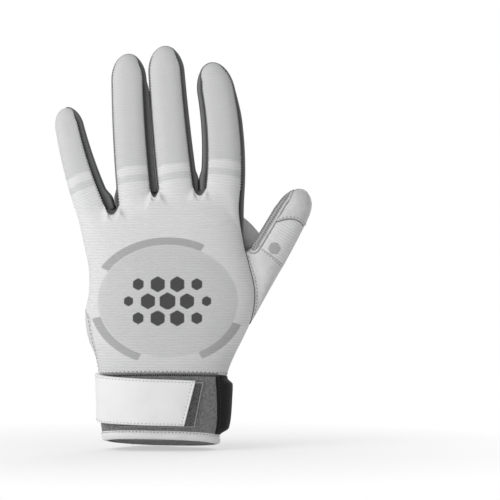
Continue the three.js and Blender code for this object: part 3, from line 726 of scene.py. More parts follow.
# Thumb side of the hand, between the right edges of the back and of the palm
def thumb_side(u, z, inset):
    angle_f = mix(-INDEX.back_right, INDEX.palm_right, u)
    root = root_line(INDEX, 1)
    run = partial(finger_run, INDEX, root, seam_share(angle_f), side_of(angle_f))
    level = run(0.0 * z, inset)[..., 2]
    back_top = angle_of(finger_point(INDEX, root, seam_share(INDEX.back_right), -1, 0.0))
    palm_top = angle_of(finger_point(INDEX, root, seam_share(INDEX.palm_right), 1, 0.0))
    low = mix(-BACK_EDGE, back_top, smooth(BACK_TURN, level, z))
    high = mix(open_at(z), palm_top, smooth(PALM_TURN, level, z))
    plain = hand_point(z, mix(low, high, u), inset)
    near = smooth(level - HAND_BLEND, level, z)[..., None]
    return mix(plain, run(z - level, inset), near)


def thumb_opening(turn, inset):
    t = np.where(turn > OPEN_CORNERS[-1], turn - 1, turn)

    def part(k):
        return clamp((t - OPEN_CORNERS[k]) / (OPEN_CORNERS[k + 1] - OPEN_CORNERS[k]))

    pieces = (
        thumb_side(1 - part(0), THUMB_OPEN_TO + 0 * t, inset),
        thumb_side(0 * t, mix(THUMB_OPEN_TO, THUMB_OPEN_FROM, part(1)), inset),
        thumb_side(part(2), THUMB_OPEN_FROM + 0 * t, inset),
        thumb_side(0 * t + 1, mix(THUMB_OPEN_FROM, THUMB_OPEN_TO, part(3)), inset),
    )
    chosen = np.searchsorted(np.array(OPEN_CORNERS[1:-1]), t)
    return np.choose(chosen[..., None], pieces)


def thumb_root(turn):
    return ROOT_SLANT * (1 + np.cos(2 * math.pi * turn))


def thumb_round(turn, s, inset):
    c = np.cos(2 * math.pi * turn)
    side = np.where(np.mod(turn, 1.0) < 0.5, -1, 1)
    return finger_point(THUMB, s, -signed_power(c, ROUND), side, inset)


def sleeve_surface(u, v, inset):
    start = thumb_opening(u, inset)
    end = thumb_round(u, thumb_root(u), inset)
    pull = np.linalg.norm(start - end, axis=-1, keepdims=True) * THUMB_PULL / 2
    along = finger_axis(THUMB, 0.0)
    near = start + along * pull
    far = end - along * pull
    v = v[..., None]
    w = 1 - v
    return start * w**3 + near * 3 * w * w * v + far * 3 * w * v * v + end * v**3


def web_surface(u, v, inset):
    hand = thumb_side(1 + 0 * v, mix(WEB.low, WEB.top, v), inset)
    turn = np.mod(mix(WEB.turn_low, WEB.turn_top, v), 1.0)
    thumb = thumb_round(turn, mix(WEB.thumb_low, WEB.thumb_top, v), inset + WEB.sink)
    out = np.stack([WEB.swell * v, WEB.deep * v**3, WEB.swell * v], axis=-1)
    return mix(hand, thumb, u[..., None]) + hump(u)[..., None] * out


def web_edge(v):
    return mix(WEB_CORNER, KNIT_FROM, smooth(*WEB_EDGE, v))


def web_strip_surface(u, v, inset):
    along = mix(WEB_STRIP.low, WEB_STRIP.top, v)
    puff = STRIP_PUFF * hump(u) * smooth(*WEB_STRIP.puff, along)
    lift = STRIP_SINK * (1 - WEB_STRIP.lift * smooth(*WEB_STRIP.flush, along))
    return sleeve_surface(np.mod(mix(STRIP_FROM, web_edge(along), u), 1.0), along, inset - lift - puff)


def thumb_shell(turn_from, turn_to, u, v, inset):
    turn = mix(turn_from, turn_to, u)
    return thumb_round(turn, mix(thumb_root(turn), THUMB.split, v), inset)


def thumb_outer_surface(u, v, inset):
    return thumb_round(mix(KNIT_TO, OUTER_TO, u), mix(THUMB.split, CAP_SEAM[2][1] + OUTER_LAP, v), inset)


def cap_seam(q):
    b = np.asarray(q, float) * mix(THUMB.root_half, THUMB.tip_half, CAP_PLACE)
    (b0, a0), (b1, a1), (b2, a2) = CAP_SEAM
    first = (a1 - a0) / (b1 - b0)
    second = ((a2 - a1) / (b2 - b1) - first) / (b2 - b0)
    return a0 + first * (b - b0) + second * (b - b0) * (b - b1)


def knit_across(u):
    return mix(-seam_share(THUMB.back_left), -signed_power(math.cos(2 * math.pi * KNIT_TO), ROUND), u)


def knit_tip_surface(u, v, inset):
    q = knit_across(ease(u))
    s = mix(THUMB.split, cap_seam(q) + CAP_LAP, v)
    return finger_point(THUMB, s, q, -1, inset + CAP_TUCK * smooth(CAP_TUCK_FROM, 1.0, v))


# Line just below the cap seam, where the painted shadow tube runs
def cap_shadow_line_surface(u, v, inset):
    q = knit_across(u)
    return finger_point(THUMB, cap_seam(q) - CAP_SHADOW_LINE.below, q, -1, inset)


# Cuff surfaces
def hem_level(angle):
    turn = np.radians(angle)
    return HEM_RISE - HEM_TILT * np.sin(turn) - HEM_LEAN * np.cos(turn)


def band_surface(u, v, inset):
    angle = mix(GUSSET.palm - SIDE_LAP, 360 - mix(*GUSSET.back, v) + SIDE_LAP, u)
    low = hem_level(angle) + HEM_HEIGHT - BAND_LAP
    return hand_point(mix(low, wrist_level(angle) + BAND_LAP, v), angle, inset)


def hem_surface(u, v, inset):
    angle = 360 * u
    return hand_point(hem_level(angle) + HEM_HEIGHT * v, angle, inset - hump(v) * HEM_PROUD)


def gusset_surface(u, v, inset):
    angle = mix(-mix(*GUSSET.back, v), GUSSET.palm, u)
    ends = smooth(*GUSSET.rise, v) * (1 - smooth(*GUSSET.fall, v))
    puff = mix(*GUSSET.proud, v) * ends * hump(u) ** GUSSET.power
    low = hem_level(angle) + HEM_HEIGHT - GUSSET.lap
    return hand_point(mix(low, wrist_level(angle), v), angle, inset - puff)


def patch_surface(patch, u, v, inset):
    x = mix(patch.left, mix(patch.low_right, patch.top_right, v), u)
    z = mix(patch.low, patch.top, v)
    return hand_point(z, angle_at(z, x, -1), inset - patch.lift - patch.wall)


def strap_surface(u, v, inset):
    z = mix(mix(STRAP.low_root, STRAP.low_end, u), mix(STRAP.top_root, STRAP.top_end, u), v)
    end = angle_at(z, mix(STRAP.low_x, STRAP.top_x, v), -1)
    base = mix(STRAP.root_lift, STRAP.lift, smooth(0, STRAP.lift_to, u))
    return hand_point(z, mix(STRAP.root_angle, end, u), inset - base - STRAP.wall)


def tab_surface(u, v, inset):
    arc = v * PULL_TAB.length
    radius = (PULL_TAB.length - PULL_TAB.straight) / math.radians(PULL_TAB.flare)
    turn = np.maximum(0, arc - PULL_TAB.straight) / radius
    level = PULL_TAB.top - np.minimum(arc, PULL_TAB.straight)
    left = mix(PULL_TAB.top_left, PULL_TAB.low_left, v)
    x = mix(left, mix(PULL_TAB.top_right, PULL_TAB.low_right, v), u)
    base = hand_point(level, angle_at(level, x, 1), -PULL_TAB.lift)[..., 1]
    lift = PULL_TAB.wall - inset
    y = base + radius * (1 - np.cos(turn)) + lift * np.cos(turn)
    return stack(x, y, level - radius * np.sin(turn) + lift * np.sin(turn))


# Meshes
def steps(count, rim=0.0):
    even = np.linspace(0, 1, max(3, int(count * COARSE) + 1))
    if rim == 0:
        return even
    near = rim * RIM_STEPS
    return np.unique(np.concatenate([even, near, 1 - near]))


def edge_gaps(points):
    across = np.linalg.norm(np.diff(points, axis=1), axis=-1)
    along = np.linalg.norm(np.diff(points, axis=0), axis=-1)
    left = np.pad(np.cumsum(across, axis=1), ((0, 0), (1, 0)))
    low = np.pad(np.cumsum(along, axis=0), ((1, 0), (0, 0)))
    return SimpleNamespace(left=left, right=left[:, -1:] - left, low=low, high=low[-1:] - low)


def rolled(gap):
    inside = clamp(1 - gap / ROLL_RADIUS)
    return ROLL_DEPTH * (1 - np.sqrt(1 - inside**2))


def sheet_faces(rows, columns, closed):
    layer = rows * columns
    outer = np.arange(layer).reshape(rows, columns)
    if closed:
        outer = np.concatenate([outer, outer[:, :1]], axis=1)
    inner = outer + layer

    def quads(a, b, c, d):
        return np.stack([a, b, c, d], axis=-1).reshape(-1, 4)

    top = quads(outer[:-1, :-1], outer[:-1, 1:], outer[1:, 1:], outer[1:, :-1])
    under = quads(inner[:-1, :-1], inner[1:, :-1], inner[1:, 1:], inner[:-1, 1:])
    rims = [
        quads(outer[0, :-1], inner[0, :-1], inner[0, 1:], outer[0, 1:]),
        quads(outer[-1, :-1], outer[-1, 1:], inner[-1, 1:], inner[-1, :-1]),
    ]
    if not closed:
        rims.append(quads(outer[:-1, 0], outer[1:, 0], inner[1:, 0], inner[:-1, 0]))
        rims.append(quads(outer[:-1, -1], inner[:-1, -1], inner[1:, -1], outer[1:, -1]))
    return np.concatenate([top, under] + rims), len(top), len(under)


def make_object(name, points, faces, materials, values, slots=None):
    mesh = bpy.data.meshes.new(name)
    mesh.from_pydata((points * MM).tolist(), [], faces.tolist())
    for material in materials:
        mesh.materials.append(material)
    if slots is not None:
        mesh.polygons.foreach_set("material_index", slots)
    work = bmesh.new()
    work.from_mesh(mesh)
    bmesh.ops.recalc_face_normals(work, faces=work.faces)
    work.to_mesh(mesh)
    work.free()
    mesh.polygons.foreach_set("use_smooth", np.ones(len(mesh.polygons), bool))
    mesh.set_sharp_from_angle(angle=SHARP)
    for key, value in values.items():
        kind, field = ("FLOAT_VECTOR", "vector") if value.ndim == 2 else ("FLOAT", "value")
        attribute = mesh.attributes.new(key, kind, "POINT")
        attribute.data.foreach_set(field, value.astype(np.float32).ravel())
    made = bpy.data.objects.new(name, mesh)
    bpy.context.scene.collection.objects.link(made)
    return made


def panel(
    name, surface, us, vs, wall, material, rolls="", detail=None, closed=False, local=None, marks=None,
    tone=None, lining=None,
):
    u, v = np.meshgrid(us[:-1] if closed else us, vs)
    flat = surface(u, v, 0.0)
    gaps = edge_gaps(flat)
    places = SimpleNamespace(u=u, v=v, flat=flat, gaps=gaps)
    inset = np.zeros(u.shape)
    for key in rolls.split():
        inset = inset + rolled(getattr(gaps, key))
    if detail is not None:
        inset = inset + detail(places)
    outer = surface(u, v, inset)
    inner = surface(u, v, wall + np.maximum(inset, 0))
    points = np.concatenate([outer.reshape(-1, 3), inner.reshape(-1, 3)])
    faces, count, under = sheet_faces(*u.shape, closed)
    rest = np.concatenate([flat.reshape(-1, 3)] * 2)
    across, along = local(rest) if local else (rest[:, 0], rest[:, 2])
    values = {"rest": rest, "surf": np.stack([across, along, 0 * along], axis=-1)}
    if marks is not None:
        values.update(marks(across, along))
    # tone holds painted shading for the side and crotch cloth
    if tone is not None:
        values["tone"] = np.concatenate([tone(places).ravel()] * 2)
    slots = np.zeros(len(faces), np.int32)
    slots[count:count + under] = 1
    made = make_object(name, points, faces, [material, lining or LINING], values, slots)
    normal = unit(np.cross(np.gradient(outer, axis=1), np.gradient(outer, axis=0)))
    away = surface(u, v, inset - 1) - outer
    flip = np.sign(np.sum(normal * away, axis=-1, keepdims=True))
    up = normal * np.where(flip == 0, 1, flip)
    return SimpleNamespace(obj=made, outer=outer, normal=up, gaps=edge_gaps(outer))


# Paths on a panel, and the threads and piping laid along them
def edge_path(p, edge, gap):
    distance = getattr(p.gaps, edge)
    outer, normal = p.outer, p.normal
    if edge in ("low", "high"):
        distance, outer, normal = distance.T, outer.swapaxes(0, 1), normal.swapaxes(0, 1)
    if edge in ("right", "high"):
        distance, outer, normal = distance[:, ::-1], outer[:, ::-1], normal[:, ::-1]
    points = []
    normals = []
    for row, place, up in zip(distance, outer, normal):
        points.append([np.interp(gap, row, place[:, i]) for i in range(3)])
        normals.append([np.interp(gap, row, up[:, i]) for i in range(3)])
    return np.array(points), unit(np.array(normals))


def edge_paths(p, edges, gap):
    return [edge_path(p, edge, gap) for edge in edges.split()]


def near_path(p, x, z):
    flat = p.outer.reshape(-1, 3)
    ups = p.normal.reshape(-1, 3)
    points = []
    normals = []
    for px, pz in zip(x, z):
        far = (flat[:, 0] - px) ** 2 + (flat[:, 2] - pz) ** 2
        best = np.argpartition(far, NEAREST)[:NEAREST]
        weight = 1 / (far[best] + NEAREST_SOFT)
        weight = weight / weight.sum()
        points.append([px, weight @ flat[best, 1], pz])
        normals.append(weight @ ups[best])
    return np.array(points), unit(np.array(normals))


def surface_path(surface, u, v):
    u = np.atleast_2d(u)
    v = np.atleast_2d(v)
    points = surface(u, v, 0.0)
    return points[0], unit(surface(u, v, -1.0) - points)[0]


def resample(points, normals, pitch):
    length = np.concatenate([[0], np.cumsum(np.linalg.norm(np.diff(points, axis=0), axis=-1))])
    count = max(2, int(round(length[-1] / pitch)))
    at = (np.arange(count) + 0.5) * length[-1] / count
    step = length[-1] / count * TANGENT

    def along(rows, where):
        return np.stack([np.interp(where, length, rows[:, i]) for i in range(3)], axis=-1)

    ahead = unit(along(points, at + step) - along(points, at - step))
    return along(points, at), unit(along(normals, at)), ahead


def bead_shape():
    sides = BEAD.sides
    rings = []
    for tall in np.linspace(-0.5, 0.5, BEAD.rings + 2)[1:-1] * math.pi:
        for turn in np.arange(sides) * 2 * math.pi / sides:
            rings.append((math.sin(tall), math.cos(tall) * math.cos(turn), math.cos(tall) * math.sin(turn)))
    points = np.array([(-1, 0, 0)] + rings + [(1, 0, 0)], float)
    points[:, 0] = signed_power(points[:, 0], BEAD.blunt)
    last = 1 + sides * (BEAD.rings - 1)
    faces = []
    for k in range(sides):
        n = (k + 1) % sides
        faces.append((0, 1 + n, 1 + k))
        faces.append((last + sides, last + k, last + n))
        for ring in range(1, last, sides):
            faces.append((ring + k, ring + n, ring + sides + n))
            faces.append((ring + k, ring + sides + n, ring + sides + k))
    return points, np.array(faces)


BEAD_POINTS, BEAD_FACES = bead_shape()


def threads(name, paths, kind, material, across=False):
    points = []
    faces = []
    shape = BEAD_POINTS * (kind.length / 2, kind.width / 2, kind.height)
    for path in paths:
        place, up, ahead = resample(*path, kind.pitch)
        over = unit(np.cross(up, ahead))
        if across:
            ahead, over = over, ahead
        up = unit(np.cross(ahead, over))
        for p, a, o, n in zip(place, ahead, over, up):
            faces.append(BEAD_FACES + len(points) * len(BEAD_POINTS))
            points.append(p + shape @ np.stack([a, o, n]))
    flat = np.concatenate(points)
    return make_object(name, flat, np.concatenate(faces), [material], {"rest": flat})


def tube(name, path, radius, material, lift=0.0):
    place, up, ahead = resample(*path, TUBE.pitch)
    over = unit(np.cross(up, ahead))
    place = place + up * lift
    turn = np.arange(TUBE.sides) * 2 * math.pi / TUBE.sides
    taper = np.ones(len(place))
    taper[[0, -1]] = TUBE.taper
    ring = np.cos(turn)[None, :, None] * over[:, None] + np.sin(turn)[None, :, None] * up[:, None]
    points = place[:, None] + ring * radius * taper[:, None, None]
    cap = ahead * radius * TUBE.cap
    flat = np.concatenate([points.reshape(-1, 3), place[:1] - cap[:1], place[-1:] + cap[-1:]])
    near = np.arange(len(place) * TUBE.sides).reshape(len(place), TUBE.sides)
    beside = np.roll(near, -1, axis=1)
    low = np.full(TUBE.sides, near.size)
    corners = (
        (near[:-1], beside[:-1], beside[1:]),
        (near[:-1], beside[1:], near[1:]),
        (low, beside[0], near[0]),
        (low + 1, near[-1], beside[-1]),
    )
    faces = np.concatenate([np.stack(three, axis=-1).reshape(-1, 3) for three in corners])
    return make_object(name, flat, faces, [material], {"rest": flat})


# Materials
def linear(*levels):
    shares = [level / 255 for level in levels]
    return tuple(c / 12.92 if c <= 0.04045 else ((c + 0.055) / 1.055) ** 2.4 for c in shares)


def grey(level, blue=0):
    return linear(level, level, level + blue)


class Shader:
    def __init__(self, name, roughness, sheen=0.0):
        self.material = bpy.data.materials.new(name)
        self.material.use_nodes = True
        self.tree = self.material.node_tree
        self.base = self.tree.nodes["Principled BSDF"]
        self.base.inputs["Roughness"].default_value = roughness
        self.base.inputs["Specular IOR Level"].default_value = SPECULAR
        self.base.inputs["Sheen Weight"].default_value = sheen

    def add(self, kind, inputs=None, out=0, **settings):
        node = self.tree.nodes.new(kind)
        for key, value in settings.items():
            setattr(node, key, value)
        for key, value in (inputs or {}).items():
            if isinstance(value, bpy.types.NodeSocket):
                self.tree.links.new(value, node.inputs[key])
            else:
                node.inputs[key].default_value = value
        return node.outputs[out]

    def math(self, operation, first, second=0.0):
        return self.add("ShaderNodeMath", {0: first, 1: second}, operation=operation)

    def plus(self, first, second):
        return self.math("ADD", first, second)

    def times(self, first, second):
        return self.math("MULTIPLY", first, second)

    def attribute(self, name, out="Vector"):
        return self.add("ShaderNodeAttribute", out=out, attribute_name=name)

    def axes(self, name):
        parts = self.tree.nodes.new("ShaderNodeSeparateXYZ")
        self.tree.links.new(self.attribute(name), parts.inputs[0])
        return parts.outputs

    def noise(self, size, detail=2.0, rough=0.5, warp=0.0):
        inputs = {"Vector": self.attribute("rest"), "Scale": 1 / size, "Detail": detail}
        inputs.update({"Roughness": rough, "Distortion": warp})
        return self.add("ShaderNodeTexNoise", inputs)

    def cells(self, size, feature):
        inputs = {"Vector": self.attribute("rest"), "Scale": 1 / size}
        return self.add("ShaderNodeTexVoronoi", inputs, feature=feature)

    def wave(self, coordinate, pitch):
        return self.math("SINE", self.times(coordinate, 2 * math.pi / pitch))

    def blend(self, share, first, second):
        inputs = {0: share, 6: (*first, 1) if isinstance(first, tuple) else first}
        inputs[7] = (*second, 1) if isinstance(second, tuple) else second
        return self.add("ShaderNodeMix", inputs, out=2, data_type="RGBA")

    def range(self, value, low, high, to_low=0.0, to_high=1.0):
        inputs = {0: value, 1: low, 2: high, 3: to_low, 4: to_high}
        return self.add("ShaderNodeMapRange", inputs)

    def bump(self, height, depth, strength, under=None):
        inputs = {"Height": height, "Distance": depth * MM, "Strength": strength}
        if under is not None:
            inputs["Normal"] = under
        return self.add("ShaderNodeBump", inputs)

    def finish(self, color, normal, rough=None):
        self.tree.links.new(color, self.base.inputs["Base Color"])
        if normal is not None:
            self.tree.links.new(normal, self.base.inputs["Normal"])
        if rough is not None:
            self.tree.links.new(rough, self.base.inputs["Roughness"])
        return self.material


# Looks: sizes of the textures in millimetres, their depths, and shares of light and dark
SPECULAR = 0.3
INK_SOFT = 0.22
KNIT_LOOK = SimpleNamespace(
    rough=0.88, sheen=0.15, rib=1.63, wale=1.05, gap=0.55, wander=6.0, wander_by=0.8, fleck=0.9,
    fleck_by=0.5, tone=(0.1, 0.55), deep=0.16, strength=0.6, sag=9.0, sag_deep=0.9, sag_strength=0.35,
    ink=0.9, dark_ink=0.94,
)
LEATHER_LOOK = SimpleNamespace(
    grain=0.55, grain_by=0.4, broad=14.0, broad_by=0.6, tone=(0.3, 0.7), shine=(0.06, 0.08), fold=7.0,
    warp=1.2, fold_rough=0.55, fold_edge=0.06, fold_deep=0.22, pore=0.8, pore_edge=0.12, pore_deep=0.05,
    pore_strength=0.5, sag_deep=1.2, sag_strength=0.35,
)
CLOTH_LOOK = SimpleNamespace(
    pitch=0.7, rough=0.7, weave=0.08, tone=(0.32, 0.68), height=0.5, strength=0.7, sag=8.0, sag_deep=0.6,
    sag_strength=0.3,
)
SIDE_LOOK = SimpleNamespace(
    rough=0.9, sheen=0.1, fleck=0.8, fleck_in=(0.2, 0.8), stir=0.12, weave=0.04, deep=0.12, sag=7.0,
    sag_deep=0.5,
)
PILE_LOOK = SimpleNamespace(
    rough=0.95, sheen=0.1, twill=2.0, twill_tone=0.06, twill_height=0.12, hair=0.7, hair_rough=0.75, tuft=1.1,
    tuft_by=0.25, tone=(0.15, 0.6), deep=0.5, strength=0.9,
)
STRIP_LOOK = SimpleNamespace(
    rough=0.75, dots=3.0, edge=(0.5, 0.7), fleck=0.8, tone=(0.3, 0.7), deep=-0.3, strength=0.8,
)
THREAD_LOOK = SimpleNamespace(rough=0.7, twist=0.5, tone=(0.35, 0.65), deep=0.1, strength=0.6)
KNIT_LIGHT, KNIT_DARK = grey(234), grey(210, 1)
SHADE_LIGHT, SHADE_DARK = grey(214, 1), grey(194, 1)
PRINT_GREY, PRINT_CHARCOAL = grey(170, 1), grey(54, 1)


def knit_material(name):
    look = KNIT_LOOK
    s = Shader(name, look.rough, look.sheen)
    across, along, _ = s.axes("surf")
    wander = s.times(s.math("SUBTRACT", s.noise(look.wander), 0.5), look.wander_by)
    rib = s.wave(s.plus(along, wander), look.rib)
    loops = s.times(rib, s.range(s.wave(across, look.wale), -1, 1, look.gap, 1.0))
    loops = s.times(loops, s.attribute("rib", out="Fac"))
    fleck = s.noise(look.fleck, detail=3.0)
    tone = s.plus(s.range(loops, -1, 1, *look.tone), s.times(fleck, look.fleck_by))
    plain = s.blend(tone, KNIT_DARK, KNIT_LIGHT)
    shaded = s.blend(s.attribute("shade", out="Fac"), plain, s.blend(tone, SHADE_DARK, SHADE_LIGHT))
    ink = s.range(s.attribute("ink", out="Fac"), -INK_SOFT, INK_SOFT, look.ink, 0.0)
    dark_ink = s.range(s.attribute("dark", out="Fac"), -INK_SOFT, INK_SOFT, look.dark_ink, 0.0)
    color = s.blend(dark_ink, s.blend(ink, shaded, PRINT_GREY), PRINT_CHARCOAL)
    sag = s.bump(s.noise(look.sag), look.sag_deep, look.sag_strength)
    return s.finish(color, s.bump(loops, look.deep, look.strength, sag))


def leather_material(name, light, dark, roughness=0.5, wrinkle=0.5):
    look = LEATHER_LOOK
    s = Shader(name, roughness)
    grain = s.noise(look.grain, detail=3.0)
    broad = s.noise(look.broad, detail=3.0)
    tone = s.plus(s.times(grain, look.grain_by), s.times(broad, look.broad_by))
    fold = s.noise(look.fold, detail=4.0, rough=look.fold_rough, warp=look.warp)
    crease = s.range(s.math("ABSOLUTE", s.math("SUBTRACT", fold, 0.5)), 0.0, look.fold_edge)
    pore = s.range(s.cells(look.pore, "DISTANCE_TO_EDGE"), 0.0, look.pore_edge)
    first = s.bump(pore, look.pore_deep, look.pore_strength)
    second = s.bump(crease, look.fold_deep, wrinkle, first)
    normal = s.bump(broad, look.sag_deep, look.sag_strength, second)
    rough = s.range(grain, *look.tone, roughness - look.shine[0], roughness + look.shine[1])
    return s.finish(s.blend(s.range(tone, *look.tone), dark, light), normal, rough)


def cloth_material(name, light, dark, pitch=0.7, speckle=0.8, roughness=0.9, relief=0.12, sheen=0.1):
    look = CLOTH_LOOK
    s = Shader(name, roughness, sheen)
    x, y, z = s.axes("rest")
    weave = s.times(s.wave(z, pitch), s.wave(s.plus(x, y), pitch))
    fleck = s.noise(speckle, detail=4.0, rough=look.rough)
    tone = s.range(s.plus(fleck, s.times(weave, look.weave)), *look.tone)
    sag = s.bump(s.noise(look.sag), look.sag_deep, look.sag_strength)
    height = s.plus(s.times(weave, look.height), fleck)
    return s.finish(s.blend(tone, dark, light), s.bump(height, relief, look.strength, sag))


def side_material(name, light, dark):
    look = SIDE_LOOK
    s = Shader(name, look.rough, look.sheen)
    _, y, z = s.axes("rest")
    weave = s.times(s.wave(z, CLOTH_LOOK.pitch), s.wave(y, CLOTH_LOOK.pitch))
    fleck = s.noise(look.fleck, detail=4.0, rough=CLOTH_LOOK.rough)
    stir = s.plus(s.range(fleck, *look.fleck_in, -look.stir, look.stir), s.times(weave, look.weave))
    # The tone attribute is painted shading: lighter on the ridges, darker at the seams and in the folds
    tone = s.plus(s.attribute("tone", out="Fac"), stir)
    sag = s.bump(s.noise(look.sag), look.sag_deep, CLOTH_LOOK.sag_strength)
    height = s.plus(s.times(weave, CLOTH_LOOK.height), fleck)
    return s.finish(s.blend(tone, dark, light), s.bump(height, look.deep, CLOTH_LOOK.strength, sag))


def pile_material(name, light, dark):
    look = PILE_LOOK
    s = Shader(name, look.rough, look.sheen)
    x, _, z = s.axes("rest")
    twill = s.wave(s.math("SUBTRACT", z, x), look.twill)
    hair = s.noise(look.hair, detail=5.0, rough=look.hair_rough)
    tuft = s.math("SUBTRACT", hair, s.times(s.cells(look.tuft, "F1"), look.tuft_by))
    tone = s.range(s.plus(tuft, s.times(twill, look.twill_tone)), *look.tone)
    height = s.plus(tuft, s.times(twill, look.twill_height))
    return s.finish(s.blend(tone, dark, light), s.bump(height, look.deep, look.strength))


def perforated_material(name, light, dark, hole):
    look = STRIP_LOOK
    s = Shader(name, look.rough)
    across, along, _ = s.axes("surf")
    dots = s.times(s.wave(across, look.dots), s.wave(along, look.dots))
    holes = s.range(s.math("ABSOLUTE", dots), *look.edge)
    plain = s.blend(s.range(s.noise(look.fleck, detail=3.0), *look.tone), dark, light)
    return s.finish(s.blend(holes, plain, hole), s.bump(holes, look.deep, look.strength))


def thread_material(name, light, dark):
    look = THREAD_LOOK
    s = Shader(name, look.rough)
    twist = s.noise(look.twist)
    color = s.blend(s.range(twist, *look.tone), dark, light)
    return s.finish(color, s.bump(twist, look.deep, look.strength))


# Pale lining inside the hem: lighter than the rest of the lining to stand in for light inside the cuff,
# painted light
HEM_LINING_PAINTED_LIGHT = cloth_material("hem_lining", grey(236), grey(214))
LINING = cloth_material("lining_cloth", grey(178), grey(150))
KNIT = knit_material("knit")
LEATHER = leather_material("leather", grey(222), grey(205))
STRAP_LEATHER = leather_material("strap_leather", grey(244), grey(236), roughness=0.45, wrinkle=0.12)
HEM_LEATHER = leather_material("hem_leather", grey(240), grey(224), wrinkle=0.3)
SIDE_CLOTH = side_material("side_cloth", grey(134, 1), grey(34, 1))
CUFF_CLOTH = cloth_material("cuff_cloth", grey(152, 1), grey(104, 1), speckle=1.3, relief=0.2)
BLACK_CLOTH = cloth_material("black_cloth", grey(30, 1), grey(13, 1), sheen=0.05)
WEBBING = cloth_material("webbing", linear(26, 27, 30), linear(12, 13, 16), pitch=1.1, roughness=0.7)
LOOP_PILE = pile_material("loop_pile", grey(132, 1), grey(62, 1))
HOOK_PILE = pile_material("hook_pile", grey(70, 1), grey(30, 1))
STRIP_CLOTH = perforated_material("strip_cloth", grey(178), grey(156), grey(122))
# Grey thread for the seams; the same material colours the painted shadow lines under the thumb cap and beside
# the thumb's piping
GREY_THREAD_AND_SHADOW_LINE = thread_material("grey_thread", grey(158), grey(122))
PALE_THREAD = thread_material("pale_thread", grey(226), grey(204))
STRAP_THREAD = thread_material("strap_thread", grey(204), grey(176))
LOOP_BORDER = thread_material("loop_border", grey(172), grey(134))
BLACK_THREAD = thread_material("black_thread", grey(66, 2), grey(40, 2))
WHITE_PIPING = thread_material("white_piping", grey(216), grey(198))
DARK_PIPING = thread_material("dark_piping", grey(78, 1), grey(56, 1))
GREEN_PIPING = thread_material("green_piping", linear(112, 232, 82), linear(86, 206, 60))


# Joining pieces to the bodies or baking them in place, and hiding the model's parts they replace
def to_metres(point):
    return tuple(float(c) * MM for c in point)


def root_zone(f):
    if f is THUMB:
        axis = finger_axis(f, 0.0)
        start = finger_place(f, 0.0, 0.0, 0.0) + axis * THUMB_ZONE[0]
        return to_metres(start), to_metres(start + axis * (THUMB_ZONE[1] - THUMB_ZONE[0]))
    left = finger_place(f, root_line(f, -1), -f.root_half, 0.0)
    right = finger_place(f, root_line(f, 1), f.root_half, 0.0)
    along = unit(right - left)
    rise = np.array([-along[2], 0.0, along[0]])
    start = (left + right) / 2
    ends = [finger_place(f, f.split, b, 0.0) for b in (-f.root_half, f.root_half)]
    reach = min(float(rise @ (end - start)) for end in ends)
    return to_metres(start), to_metres(start + rise * reach)


def crease_zone(f):
    start = finger_place(f, f.split, 0.0, 0.0)
    reach = 2 * (f.crease - f.split)
    return to_metres(start), to_metres(start + finger_axis(f, f.split) * reach)


def bend_root(obj, f, slot, *nodes):
    start, end = root_zone(f)
    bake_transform(obj)
    dress(nodes)


def bend_crease(obj, f, slot, *nodes):
    start, end = crease_zone(f)
    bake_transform(obj)
    dress(nodes)


def bend_web(obj):
    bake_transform(obj)
    dress(())


def bend_strap(obj, slot, *nodes):
    root = strap_surface(np.array(0.0), np.array(0.5), STRAP.wall / 2)
    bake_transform(obj)
    dress(nodes)


def carry(obj, body, slot, *nodes):
    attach(obj, body)
    dress(nodes)


def dress(nodes):
    if nodes:
        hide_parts(*nodes)


# Print on the knit: three arcs round a shaded oval, a small honeycomb, and shaded fingers
OVAL = SimpleNamespace(x=2.0, z=84.0, wide=41.0, high=33.0, band=0.13, soft=0.02)
ARCS = ((62, 148), (196, 248), (296, 338))
COMB = SimpleNamespace(x=2.0, z=84.0, radius=5.3, shrink=0.42, pitch=11.4, rows=(4, 5, 4))
FAR = 6.0
HEX = math.sqrt(3) / 2
WRIST_SHADE = 0.6
WRIST_FADE = (44.0, 66.0)
UPPER_EDGE = (19.6, 20.2)
BAND_LOW = (10.6, 11.0)
BAND_TOP = (14.6, 15.0)
BAND_SHADE = 0.8
BAND_BOW = 0.012
FINGER_RIB = 0.35
FINGER_RIB_FADE = (14, 34)
THUMB_SPOT = SimpleNamespace(x=1.0, z=6.0, radius=3.9)


def oval_place(x, z):
    across = (x - OVAL.x) / OVAL.wide
    up = (z - OVAL.z) / OVAL.high
    return np.hypot(across, up), np.degrees(np.arctan2(up, across)) % 360


def arc_distance(x, z):
    reach, turn = oval_place(x, z)
    size = (OVAL.wide + OVAL.high) / 2
    radial = (np.abs(reach - 1 - OVAL.band / 2) - OVAL.band / 2) * size
    best = np.full_like(x, FAR)
    for start, end in ARCS:
        ends = np.radians(np.abs(turn - (start + end) / 2) - (end - start) / 2) * size
        best = np.minimum(best, np.maximum(radial, ends))
    return best


def hexagon_distance(x, z, radius):
    across = np.abs(x)
    return np.maximum(across, across / 2 + np.abs(z) * HEX) - radius * HEX


def comb_distance(x, z):
    best = np.full_like(x, FAR)
    for j, count in enumerate(COMB.rows):
        level = (j - (len(COMB.rows) - 1) / 2) * COMB.pitch * HEX
        for i in range(count):
            middle = (i - (count - 1) / 2) * COMB.pitch
            away = math.hypot(middle, level) / (COMB.pitch * (max(COMB.rows) - 1) / 2)
            radius = COMB.radius * (1 - COMB.shrink * away**2)
            best = np.minimum(best, hexagon_distance(x - COMB.x - middle, z - COMB.z - level, radius))
    return best


def mark(along, **given):
    plain = {"ink": FAR, "dark": FAR, "shade": 0.0, "rib": 1.0}
    return {key: given.get(key, value) + 0 * along for key, value in plain.items()}


def hand_marks(x, z):
    inside = 1 - smooth(1 - OVAL.soft, 1 + OVAL.soft, oval_place(x, z)[0])
    shade = np.maximum(inside, WRIST_SHADE * (1 - smooth(*WRIST_FADE, z)))
    return mark(z, ink=arc_distance(x, z), dark=comb_distance(x, z), shade=shade)


def plain_marks(across, along):
    return mark(along)


